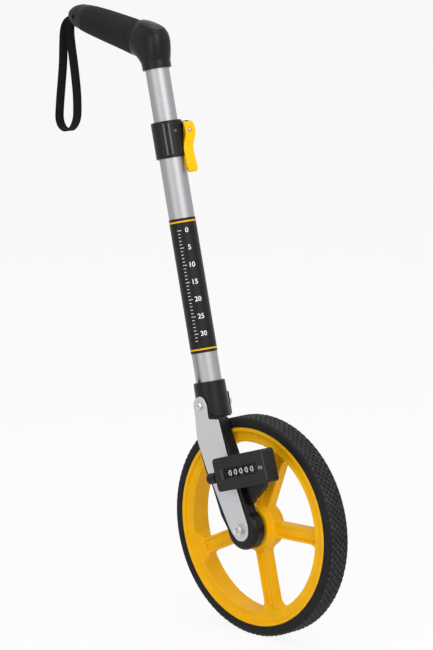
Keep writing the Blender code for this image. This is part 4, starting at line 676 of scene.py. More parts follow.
def scatter_tree():
    """A piece scattered over a surface at a least spacing, and laid flat on it."""
    tree, start, end = new_tree("scatter_on_surface", (
        ("Piece", "NodeSocketObject", None), ("Spacing", "NodeSocketFloat", 0.002),
        ("Density", "NodeSocketFloat", 400000.0), ("Seed", "NodeSocketInt", 0),
        ("Material", "NodeSocketMaterial", None)))
    inputs = start.outputs
    points = node(tree, "GeometryNodeDistributePointsOnFaces", distribute_method="POISSON")
    for name, source in (("Mesh", "Geometry"), ("Distance Min", "Spacing"), ("Density Max", "Density"),
                         ("Seed", "Seed")):
        tree.links.new(inputs[source], points.inputs[name])
    finish_tree(tree, place_instances(tree, inputs, points.outputs["Points"],
                                      {"Rotation": points.outputs["Rotation"]}), inputs["Material"], end)
    return tree


TREES = {}


def tree_named(name):
    makers = {"ring": ring_tree, "row": row_tree, "scatter": scatter_tree}
    if name not in TREES:
        TREES[name] = makers[name]()
    return TREES[name]


# Text and bent pieces

def glyphs(name, text, height, relief, finish, weight=0.0):
    """Plain numbers or a letter as a closed mesh: x to the right, y up, z out, centred."""
    curve = bpy.data.curves.new(name, "FONT")
    curve.body = text
    curve.align_x = "CENTER"
    curve.extrude = relief
    curve.resolution_u = 5
    curve.offset = weight
    words = bpy.data.objects.new(name + "_curve", curve)
    bpy.context.scene.collection.objects.link(words)
    depsgraph = bpy.context.evaluated_depsgraph_get()
    depsgraph.update()
    mesh = bpy.data.meshes.new_from_object(words.evaluated_get(depsgraph), depsgraph=depsgraph)
    bpy.data.objects.remove(words, do_unlink=True)
    low = Vector([min(v.co[i] for v in mesh.vertices) for i in range(3)])
    high = Vector([max(v.co[i] for v in mesh.vertices) for i in range(3)])
    size = height / (high.y - low.y)
    middle = (low + high) / 2
    bm = bmesh.new()
    bm.from_mesh(mesh)
    bpy.data.meshes.remove(mesh)
    for vert in bm.verts:
        vert.co = Vector(((vert.co.x - middle.x) * size, (vert.co.y - middle.y) * size, vert.co.z))
    return build(name, bm, finish)


def slice_up(obj, axis, step):
    """Cut a mesh into strips along one axis, so that it can be bent."""
    bm = bmesh.new()
    bm.from_mesh(obj.data)
    places = [v.co[axis] for v in bm.verts]
    normal = Vector([1.0 if i == axis else 0.0 for i in range(3)])
    place = min(places) + step
    while place < max(places):
        bmesh.ops.bisect_plane(bm, geom=bm.verts[:] + bm.edges[:] + bm.faces[:], plane_co=normal * place,
                               plane_no=normal)
        place += step
    bm.to_mesh(obj.data)
    bm.free()
    return obj


def wrap_round_tube(obj, radius, facing, down):
    """Bend a flat mesh (x right, y up, z out) round the tube, facing one way at one height."""
    for vert in obj.data.vertices:
        turn = facing + vert.co.x / radius
        out = radius + vert.co.z
        vert.co = TUBE @ Vector((out * cos(turn), out * sin(turn), vert.co.y - down))
    return obj


def wrap_round_drum(obj, radius, turn, along):
    """Bend a flat mesh round a drum of the counter, at a turn below its front."""
    for vert in obj.data.vertices:
        angle = turn - vert.co.y / radius
        out = radius + vert.co.z
        vert.co = COUNTER @ Vector((along + vert.co.x, DRUM_BACK - out * cos(angle), -out * sin(angle)))
    return obj


# Screws and nuts, their heads towards -Y and their seats at y = 0

def cross_screw(name, head_radius, head_height, radius, length, place, finish="screw_zinc"):
    """Pan head screw with a cross recess."""
    body = build(name, turned([(0.0, -head_height), (head_radius * 0.5, -head_height),
                               (head_radius * 0.82, -head_height * 0.86), (head_radius, -head_height * 0.5),
                               (head_radius, 0.0), (radius, 0.0), (radius, length), (0.0, length)],
                              SIDES_SCREW, "Y"), finish, smooth=radians(50.0))
    arm, slot = head_radius * 0.56, head_radius * 0.13
    depth = (-head_height * 1.2, -head_height * 0.35)
    cut(body, (box((-arm, arm), depth, (-slot, slot)), None), (box((-slot, slot), depth, (-arm, arm)), None))
    body.data.transform(place)
    return body


def socket_screw(name, head_radius, head_height, radius, length, recess, place, finish="screw_zinc"):
    """Round headed bolt with a hexagon recess and a chamfered thread end."""
    edge = head_radius * 0.14
    body = build(name, turned([(0.0, -head_height), (head_radius - edge, -head_height),
                               (head_radius, -head_height + edge), (head_radius, -edge / 2),
                               (head_radius - edge / 2, 0.0), (radius, 0.0), (radius, length - edge),
                               (radius - edge, length), (0.0, length)], SIDES_TUBE, "Y"), finish,
                 smooth=radians(35.0))
    cut(body, (prism(hexagon(recess), -head_height * 1.2, -head_height * 0.45), None))
    body.data.transform(place)
    return body


def nut(name, size, hole, start, end, place, finish="screw_zinc"):
    """Hexagon nut with chamfered corners."""
    edge = (end - start) * 0.14
    corner = size / cos(pi / 6)
    body = build(name, prism(hexagon(size), start, end), finish)
    chamfer = turned([(0.0, start), (size * 0.98, start), (corner * 1.01, start + edge),
                      (corner * 1.01, end - edge), (size * 0.98, end), (0.0, end)], SIDES_TUBE, "Y")
    shape(body, "INTERSECT", (chamfer, None))
    cut(body, (rod(hole, start - 0.01, end + 0.01), None))
    body.data.transform(place)
    return body


# Stage

CAMERA_PLACE, CAMERA_TURN = (3.2645, -2.9280, 0.3693), (79.51, 0.0, 46.07)
CAMERA_SENSOR, CAMERA_LENS, CAMERA_SIGHT = 24.0, 110.88, 100.0
WORLD_LIGHT = 0.42
FLOOR_SIZE, FLOOR_DROP, FLOOR_WHITE, FLOOR_GLOW = 30.0, 0.0001, 0.86, 0.90
LAMP_AIM = Vector((0.12, 0.0, -0.42))
# Place, size and power of each square lamp
LAMPS = {"key_lamp": ((2.9, -0.9, 1.5), 2.6, 61.0), "fill_lamp": ((0.5, -3.2, 0.6), 2.4, 26.0),
         "top_lamp": ((0.2, 0.3, 2.2), 2.0, 24.0)}


def seen_directly(tree):
    """1 for the camera, reflections and clear pieces, and 0 for light that falls on other things."""
    rays = node(tree, "ShaderNodeLightPath").outputs
    most = math(tree, "MAXIMUM", rays["Is Camera Ray"], rays["Is Glossy Ray"])
    return math(tree, "MAXIMUM", most, rays["Is Transmission Ray"])


def mix_shaders(tree, share, first, second, output):
    """Mix two shaders into the tree's output."""
    mix = node(tree, "ShaderNodeMixShader", {"Fac": share, 1: first.outputs[0], 2: second.outputs[0]})
    node(tree, output, {"Surface": mix.outputs["Shader"]})


def floor_finish():
    """White floor that the camera and reflections see almost as bright as the background."""
    material = bpy.data.materials.new("floor_white")
    material.use_nodes = True
    tree = material.node_tree
    tree.nodes.clear()
    matte = node(tree, "ShaderNodeBsdfDiffuse", {"Color": (FLOOR_WHITE, FLOOR_WHITE, FLOOR_WHITE, 1.0)})
    mix_shaders(tree, math(tree, "MULTIPLY", seen_directly(tree), FLOOR_GLOW), matte,
                node(tree, "ShaderNodeEmission"), "ShaderNodeOutputMaterial")
    return material


class MakeStage(bpy.types.Operator):
    """White floor and background, soft lamps and the camera of the picture"""
    bl_idname = "measuring_wheel.stage"
    bl_label = "Stage"

    def execute(self, context):
        scene = context.scene
        scene.view_settings.view_transform = "Standard"
        camera = bpy.data.cameras.new("camera")
        camera.sensor_fit = "VERTICAL"
        camera.sensor_height = CAMERA_SENSOR
        camera.lens = CAMERA_LENS
        camera.clip_end = CAMERA_SIGHT
        eye = bpy.data.objects.new("camera", camera)
        eye.location = CAMERA_PLACE
        eye.rotation_euler = [radians(angle) for angle in CAMERA_TURN]
        scene.collection.objects.link(eye)
        scene.camera = eye

        bm = bmesh.new()
        bmesh.ops.create_grid(bm, x_segments=8, y_segments=8, size=FLOOR_SIZE)
        ground = Matrix.Translation((0.0, 0.0, AXLE_PLACE.z - TYRE_RADIUS - FLOOR_DROP))
        floor = build("floor", bm, None, ground)
        floor.data.materials.append(floor_finish())

        world = bpy.data.worlds.new("studio")
        scene.world = world
        world.use_nodes = True
        tree = world.node_tree
        tree.nodes.clear()
        soft, white = (node(tree, "ShaderNodeBackground", {"Color": (1.0, 1.0, 1.0, 1.0), "Strength": strength})
                       for strength in (WORLD_LIGHT, 1.0))
        mix_shaders(tree, seen_directly(tree), soft, white, "ShaderNodeOutputWorld")

        for name, (place, size, power) in LAMPS.items():
            lamp = bpy.data.lights.new(name, "AREA")
            lamp.shape = "SQUARE"
            lamp.size = size
            lamp.energy = power
            light = bpy.data.objects.new(name, lamp)
            light.location = place
            light.rotation_euler = (LAMP_AIM - Vector(place)).to_track_quat("-Z", "Y").to_euler()
            scene.collection.objects.link(light)
        return {"FINISHED"}


# Wrist strap

STRAP_ROUTE = (
    (-0.0722, 0.0109), (-0.0775, 0.0112), (-0.0850, 0.0090), (-0.0925, 0.0040), (-0.0980, -0.0040),
    (-0.1008, -0.0150), (-0.1020, -0.0300), (-0.1034, -0.0590), (-0.1062, -0.0830), (-0.1095, -0.1080),
    (-0.1122, -0.1320), (-0.1122, -0.1440), (-0.1080, -0.1535), (-0.1010, -0.1585), (-0.0935, -0.1600),
    (-0.0860, -0.1575), (-0.0790, -0.1510), (-0.0738, -0.1410), (-0.0722, -0.1290), (-0.0727, -0.1050),
    (-0.0757, -0.0810), (-0.0795, -0.0580), (-0.0842, -0.0330), (-0.0866, -0.0170), (-0.0862, -0.0040),
    (-0.0820, 0.0048), (-0.0775, 0.0068), (-0.0732, 0.0068),
)
STRAP_WIDTH = 0.016
STRAP_THICKNESS = 0.0022
# Section of the webbing, as shares of its width and of its thickness: piped edges, flat between
STRAP_SECTION_SHARES = ((-0.50, 0.0), (-0.485, -0.36), (-0.45, -0.5), (-0.40, -0.44), (0.0, -0.42),
                        (0.40, -0.44), (0.45, -0.5), (0.485, -0.36), (0.50, 0.0), (0.485, 0.36),
                        (0.45, 0.5), (0.40, 0.44), (0.0, 0.42), (-0.40, 0.44), (-0.45, 0.5),
                        (-0.485, 0.36))


class MakeStrap(bpy.types.Operator):
    """Loop of black webbing that hangs from the pin in the handle's end"""
    bl_idname = "measuring_wheel.strap"
    bl_label = "Wrist strap"

    def execute(self, context):
        pitch = context.scene.wheel_handle.rib_pitch
        route = [Vector(p) for p in through(STRAP_ROUTE, 8)]
        bm = bmesh.new()
        chart = bm.loops.layers.uv.new("UVMap")
        along, rings, walked = [], [], 0.0
        for i, point in enumerate(route):
            before, after = route[max(i - 1, 0)], route[min(i + 1, len(route) - 1)]
            heading = (after - before).normalized()
            normal = Vector((-heading.y, heading.x))
            walked += (point - route[i - 1]).length if i else 0.0
            along.append(walked)
            rings.append([])
            for width, face in STRAP_SECTION_SHARES:
                place = point + normal * face * STRAP_THICKNESS
                rings[-1].append(bm.verts.new((place.x, width * STRAP_WIDTH, place.y)))
        count = len(STRAP_SECTION_SHARES)
        for i in range(len(rings) - 1):
            for k in range(count):
                j = (k + 1) % count
                face = bm.faces.new((rings[i][k], rings[i][j], rings[i + 1][j], rings[i + 1][k]))
                for loop, (row, column) in zip(face.loops, ((i, k), (i, j), (i + 1, j), (i + 1, k))):
                    loop[chart].uv = (along[row] / pitch, STRAP_SECTION_SHARES[column][0])
        bm.faces.new(rings[0])
        bm.faces.new(reversed(rings[-1]))
        strap = build("webbing_strap", bm, "strap_webbing", smooth=radians(70.0))
        show(strap, "handle", "wrist_strap", slot="webbing")
        return {"FINISHED"}


# Handle

GRIP_BACK, GRIP_FRONT = 0.057, 0.066
GRIP_HEIGHT = 0.049
CORE_RADIUS = 0.014
ELBOW_RADIUS = 0.042
COLLAR_END, COLLAR_RADIUS, COLLAR_TOP = 0.0375, 0.021, 0.006
CAP_LENGTH = 0.023
# The cap's shell reaches forward over the grip's end, up to a narrow seam
CAP_FORWARD, SEAM_HALF = 0.012, 0.00015
STUB_RADIUS, STUB_LENGTH = 0.008, 0.010
STRAP_PIN_BACK, STRAP_PIN_DOWN, STRAP_PIN_REACH = 0.0705, 0.005, 0.0113
UPPER_TUBE_RADIUS = 0.0172
TUBE_SCREW_DOWN = 0.024
TUBE_SCREW_SEAT = 0.0191
CAP_SCREW_BACK, CAP_SCREW_SEAT = 0.062, 0.0135
# Shares of the grip height: place along the grip, upper half, lower half and half width
GRIP_SECTION_SHARES = ((0.00, 0.380, 0.375, 0.350), (0.10, 0.420, 0.415, 0.370),
                       (0.38, 0.470, 0.460, 0.380), (0.75, 0.500, 0.500, 0.400),
                       (1.00, 0.505, 0.540, 0.415))
CAP_SECTION_SHARES = ((0.00, 0.380, 0.375, 0.350), (0.20, 0.370, 0.365, 0.345),
                      (0.45, 0.330, 0.335, 0.325), (0.70, 0.270, 0.290, 0.295),
                      (0.90, 0.180, 0.230, 0.250), (1.00, 0.110, 0.170, 0.200))
# Shares of the collar radius around the elbow: share of the turn, outer, inner and side half
ELBOW_SECTION_SHARES = ((0.00, 1.310, 1.265, 1.000), (0.12, 1.385, 1.210, 1.015),
                        (0.25, 1.475, 1.150, 1.025), (0.38, 1.600, 1.100, 1.035),
                        (0.50, 1.680, 1.060, 1.040), (0.62, 1.545, 1.035, 1.035),
                        (0.75, 1.310, 1.020, 1.025), (0.88, 1.120, 1.010, 1.010),
                        (1.00, 1.000, 1.000, 1.000))
ELBOW_PAD_LOW, ELBOW_PAD_HEIGHT = 0.0240, 0.0008


def row_at(before, after, share):
    """The row of numbers between two rows that starts with this share."""
    return [low + (high - low) * (share - before[0]) / (after[0] - before[0])
            for low, high in zip(before, after)]


def elbow_sections(proud=0.0):
    """Sections of the core, the elbow and the collar, from the cap's stub to the collar's end."""
    up = Vector((0.0, 0.0, 1.0))
    sections = [(Vector((-x, 0.0, 0.0)), up, r, r, r, 2.0)
                for x, r in ((GRIP_BACK + STUB_LENGTH, STUB_RADIUS), (GRIP_BACK - GAP, STUB_RADIUS),
                             (GRIP_BACK - GAP, CORE_RADIUS), (-GRIP_FRONT, CORE_RADIUS))]
    bend = pi / 2 - TUBE_LEAN - HANDLE_FALL
    start = GRIP_REACH - ELBOW_RADIUS * tan(bend / 2)
    first = [s * COLLAR_RADIUS for s in ELBOW_SECTION_SHARES[0][1:]]
    edge = 0.0007
    sections.append((Vector((GRIP_FRONT, 0.0, 0.0)), up, *(s - edge for s in first), 2.05))
    sections.append((Vector((GRIP_FRONT + edge, 0.0, 0.0)), up, *first, 2.05))
    for share, *sizes in through(ELBOW_SECTION_SHARES, 5):
        turn = bend * share
        normal = Vector((sin(turn), 0.0, cos(turn)))
        square = 2.05 + 0.75 * sin(pi * share)
        sections.append((Vector((start, 0.0, -ELBOW_RADIUS)) + normal * ELBOW_RADIUS, normal,
                         *(s * COLLAR_RADIUS + proud for s in sizes), square))
    down, ahead = Vector((cos(bend), 0.0, -sin(bend))), Vector((sin(bend), 0.0, cos(bend)))
    for reach, radius in ((COLLAR_END - 0.0008, COLLAR_RADIUS), (COLLAR_END, COLLAR_RADIUS - 0.0006)):
        sections.append((Vector((GRIP_REACH, 0.0, 0.0)) + down * reach, ahead, radius, radius, radius, 2.0))
    return sections


class MakeHandle(bpy.types.Operator):
    """Elbow with its collar, soft pebbled grip, end cap and their screws"""
    bl_idname = "measuring_wheel.handle"
    bl_label = "Handle"

    def execute(self, context):
        sizes = context.scene.wheel_handle
        elbow = build("handle_elbow", loft(elbow_sections(), SIDES_TUBE), "black_moulding", HANDLE)
        pad = build("pad", loft(elbow_sections(ELBOW_PAD_HEIGHT), SIDES_TUBE), "black_moulding", HANDLE)
        shape(pad, "INTERSECT", (box((GRIP_FRONT + 0.0015, 0.15), (-0.05, 0.05), (ELBOW_PAD_LOW, 0.05)), HANDLE))
        join(elbow, pad)
        cut(elbow, (rod(UPPER_TUBE_RADIUS + GAP, -0.05, -COLLAR_TOP, SIDES_TUBE, "Z"), TUBE),
            (rod(SCREW_ROOM, -DEEP_CUT, -TUBE_SCREW_SEAT, SIDES_SCREW, "X"), at(TUBE, z=-TUBE_SCREW_DOWN)))
        show(soften(elbow, 0.0005), "handle", "handle_body", slot="black_plastic")

        length = GRIP_FRONT - GAP + GRIP_BACK
        cap_share = CAP_FORWARD / length
        up = Vector((0.0, 0.0, 1.0))
        rows = through(GRIP_SECTION_SHARES, 10)
        behind = [row for row in rows if row[0] < cap_share]
        rows = [row for row in rows if row[0] > cap_share]
        seam = [row_at(behind[-1], rows[0], cap_share + side * SEAM_HALF / length) for side in (-1.0, 1.0)]
        behind.append(seam[0])
        rows.insert(0, seam[1])
        sections = []
        for share, *halves in rows:
            ease = 1.0 - 0.035 * max(0.0, (share - 0.98) / 0.02)
            sections.append((Vector((-GRIP_BACK + share * length, 0.0, 0.0)), up,
                             *(s * GRIP_HEIGHT * ease for s in halves), 2.2))
        grip = build("soft_grip", loft(sections, SIDES_TUBE), "grip_rubber", HANDLE)
        cut(grip, (rod(CORE_RADIUS + GAP, *ACROSS, SIDES_TUBE, "X"), HANDLE))
        patch = bpy.data.meshes.new("pebbled_patch")
        bm = loft(sections[3:-3], SIDES_TUBE)
        bmesh.ops.recalc_face_normals(bm, faces=bm.faces)
        bmesh.ops.delete(bm, geom=[f for f in bm.faces if len(f.verts) > 4 or
                                   f.calc_center_median().z < -0.010], context="FACES")
        bm.transform(HANDLE)
        bm.to_mesh(patch)
        bm.free()
        bm = bmesh.new()
        bmesh.ops.create_uvsphere(bm, u_segments=6, v_segments=4, radius=sizes.pebble_size)
        bm.transform(Matrix.Diagonal((1.0, 1.0, 0.32, 1.0)))
        pebble = build("pebble", bm, "grip_rubber")
        pebbles = run_tree("grip_pebbles", tree_named("scatter"),
                           {"Piece": pebble, "Spacing": sizes.pebble_spacing, "Density": 900000.0, "Seed": 4,
                            "Material": MATERIALS["grip_rubber"]}, patch)
        bpy.data.objects.remove(pebble, do_unlink=True)
        show(merge(grip, pebbles), "handle", "grip_sleeve", slot="grip_rubber")

        sections = [(Vector((-GRIP_BACK + share * length, 0.0, 0.0)), up, *(s * GRIP_HEIGHT for s in halves), 2.2)
                    for share, *halves in reversed(behind[1:])]
        sections += [(Vector((-GRIP_BACK - GAP - share * CAP_LENGTH, 0.0, 0.0)), up,
                      *(s * GRIP_HEIGHT for s in halves), 2.2)
                     for share, *halves in through(CAP_SECTION_SHARES, 6)]
        cap = build("end_cap_shell", loft(sections, SIDES_TUBE), "cap_grey", HANDLE)
        back = GRIP_BACK + CAP_LENGTH
        slot = box((-back - 0.002, -back + 0.0115), (-0.0085, 0.0085), (-0.011, 0.001))
        screw_line = at(HANDLE, -CAP_SCREW_BACK)
        cut(cap, (rod(STUB_RADIUS + GAP, -GRIP_BACK - STUB_LENGTH - GAP, 0.0, SIDES_TUBE, "X"), HANDLE),
            (rod(CORE_RADIUS + GAP, -GRIP_BACK - GAP, 0.0, SIDES_TUBE, "X"), HANDLE), (slot, HANDLE),
            (rod(0.0023, -STRAP_PIN_REACH, STRAP_PIN_REACH), at(HANDLE, -STRAP_PIN_BACK, z=-STRAP_PIN_DOWN)),
            (rod(0.0033, -DEEP_CUT, -CAP_SCREW_SEAT + GAP), screw_line), (rod(0.0018, -DEEP_CUT, 0.0), screw_line))
        show(soften(cap, 0.0005), "handle", "grip_end_cap", slot="black_plastic")

        screw = cross_screw("cap_screw_dressed", 0.003, 0.002, 0.0015, 0.010,
                            at(screw_line, y=-CAP_SCREW_SEAT), "black_moulding")
        show(screw, "handle", "end_cap_screw", slot="steel")
        screw = cross_screw("collar_screw_dressed", 0.0034, 0.0019, 0.0016, 0.0070,
                            at(TUBE, -TUBE_SCREW_SEAT, z=-TUBE_SCREW_DOWN) @ Matrix.Rotation(-pi / 2, 4, "Z"))
        show(screw, "handle", "tube_screw", slot="steel")
        return {"FINISHED"}


# Tubes

SOCKET_TOP, SOCKET_END, SOCKET_DEPTH = 0.492, 0.545, 0.0465
LOWER_TUBE_RADIUS = 0.0186
TUBE_WALL = 0.001
UPPER_TUBE_TOP, UPPER_TUBE_END = 0.008, 0.447
LOWER_TUBE_TOP = 0.122
LABEL_TOP, LABEL_END = 0.255, 0.450
LABEL_RADIUS = 0.0194
LABEL_FACING = radians(-43.0)
PRINT_RELIEF, PRINT_WEIGHT, BEND_STEP = 0.00005, 0.012, 0.0009
STRIPE_IN, STRIPE_HALF = 0.005, 0.0011
FIRST_TICK, TICKS_LEFT = 0.0175, 0.0095
NUMBER_HEIGHT, NUMBERS_RIGHT = 0.0072, 0.0042


class MakeTubes(bpy.types.Operator):
    """Telescoping aluminium tubes and the printed sleeve on the lower one"""
    bl_idname = "measuring_wheel.tubes"
    bl_label = "Tubes and label"

    def execute(self, context):
        upper = build("inner_tube", pipe(UPPER_TUBE_RADIUS, UPPER_TUBE_RADIUS - TUBE_WALL,
                                                -UPPER_TUBE_END, -UPPER_TUBE_TOP), "tube_silver", TUBE)
        cut(upper, (rod(SCREW_HOLE, -DEEP_CUT, 0.0, SIDES_SCREW, "X"), at(TUBE, z=-TUBE_SCREW_DOWN)))
        show(upper, "handle", "upper_tube", slot="aluminium")
        end = SOCKET_TOP + SOCKET_DEPTH - GAP
        lower = build("outer_tube", pipe(LOWER_TUBE_RADIUS, LOWER_TUBE_RADIUS - TUBE_WALL, -end,
                                                -LOWER_TUBE_TOP), "tube_silver", TUBE)
        cut(lower, (drill(BOLT_HOLE), SOCKET_BOLT))
        show(lower, "lower", "lower_tube", slot="aluminium")

        sizes = context.scene.wheel_label
        sleeve = build("printed_sleeve", pipe(LABEL_RADIUS, LOWER_TUBE_RADIUS + GAP, -LABEL_END,
                                                     -LABEL_TOP, 0.00015), "label_black", TUBE)
        relief = PRINT_RELIEF
        parts = [build("stripe", pipe(LABEL_RADIUS + relief, LABEL_RADIUS - relief, -down - STRIPE_HALF,
                                      -down + STRIPE_HALF, relief / 2), "print_yellow", TUBE)
                 for down in (LABEL_TOP + STRIPE_IN, LABEL_END - STRIPE_IN)]
        bm = bmesh.new()
        bmesh.ops.create_cube(bm, size=1.0)
        bm.transform(Matrix.Translation((0.0015, 0.0, 0.0)) @ Matrix.Diagonal((0.0036, 0.0007, 2 * relief, 1.0)))
        bm.transform(Matrix(((0, 0, 1, 0), (1, 0, 0, 0), (0, 1, 0, 0), (0, 0, 0, 1))))
        tick = build("tick", bm, "print_white")
        ticks = run_tree("ticks", tree_named("row"),
                         {"Piece": tick, "Count": sizes.tick_count, "Pitch": sizes.tick_pitch, "Long": 1.7,
                          "Material": MATERIALS["print_white"]})
        bpy.data.objects.remove(tick, do_unlink=True)
        for vert in ticks.data.vertices:
            vert.co = Vector((vert.co.y - TICKS_LEFT, vert.co.z, vert.co.x))
        top = LABEL_TOP + FIRST_TICK
        parts.append(wrap_round_tube(slice_up(ticks, 0, BEND_STEP), LABEL_RADIUS, LABEL_FACING, top))
        for number in range((sizes.tick_count - 1) // 5 + 1):
            words = glyphs(f"number_{number}", str(number * 5), NUMBER_HEIGHT, relief, "print_white", PRINT_WEIGHT)
            words = slice_up(move(words, (NUMBERS_RIGHT, 0.0, 0.0)), 0, BEND_STEP)
            parts.append(wrap_round_tube(words, LABEL_RADIUS, LABEL_FACING, top + 5 * number * sizes.tick_pitch))
        show(merge(sleeve, *parts), "lower", "tube_label", slot="label_print")
        return {"FINISHED"}


# Clamp and cam lever

CLAMP_TOP, CLAMP_END, CLAMP_RADIUS, CLAMP_LIP = 0.114, 0.167, 0.0223, 0.0012
CLAMP_SLIT = 0.0025
EAR_REACH, EAR_THICKNESS, EAR_TOP, EAR_END, EAR_ROUND = 0.032, 0.0072, 0.1165, 0.150, 0.003
CLAMP_RIB_TURNS, CLAMP_RIB_HALF, CLAMP_RIB_IN = (radians(-54.5), radians(-35.5)), 0.0012, 0.004
CLAMP_SCREW_TURN, CLAMP_SCREW_DOWN = radians(-12.0), 0.130
BOLT_OUT, PIVOT_DOWN, CLAMP_WASHER = 0.02525, 0.1237, 0.001
LEVER_WIDTH, LEVER_DEPTH, LEVER_HEAD, LEVER_LENGTH, LEVER_WALL = 0.0135, 0.012, 0.006, 0.070, 0.0025
BARREL_RADIUS = 0.0032
LEVER_EXTRA = 0.004
# Shares of the lever's depth and length, down from the head: its outer and its inner side
LEVER_OUTER_SHARES = ((1.00, 0.00), (1.09, 0.09), (1.16, 0.20), (1.13, 0.29), (1.03, 0.38), (0.985, 0.45),
                      (1.02, 0.58), (1.12, 0.76), (1.20, 0.88), (1.23, 0.96), (1.13, 0.99), (1.00, 1.00))
LEVER_INNER_SHARES = ((0.66, 0.99), (0.50, 0.82), (0.30, 0.66), (0.12, 0.50), (0.04, 0.36),
                      (0.02, 0.22))
# The broad side's edges, as shares of the lever's width, over shares of its length
LEVER_LEFT_SHARES = ((-0.50, -0.12), (-0.50, 0.10), (-0.52, 0.17), (-0.66, 0.27), (-0.85, 0.38), (-0.97, 0.50),
                     (-1.00, 0.65), (-0.98, 0.82), (-0.92, 0.94), (-0.80, 0.99), (-0.65, 1.01))
LEVER_RIGHT_SHARES = ((-0.10, 1.01), (0.05, 0.985), (0.15, 0.93), (0.17, 0.85), (0.12, 0.70), (0.10, 0.56),
                      (0.16, 0.45), (0.34, 0.33), (0.54, 0.22), (0.63, 0.12), (0.64, 0.03), (0.56, -0.04),
                      (0.38, -0.085), (0.20, -0.10), (0.00, -0.12))
LEVER_RIVET_DOWN, LEVER_RIVET_RADIUS = 0.0075, 0.0023


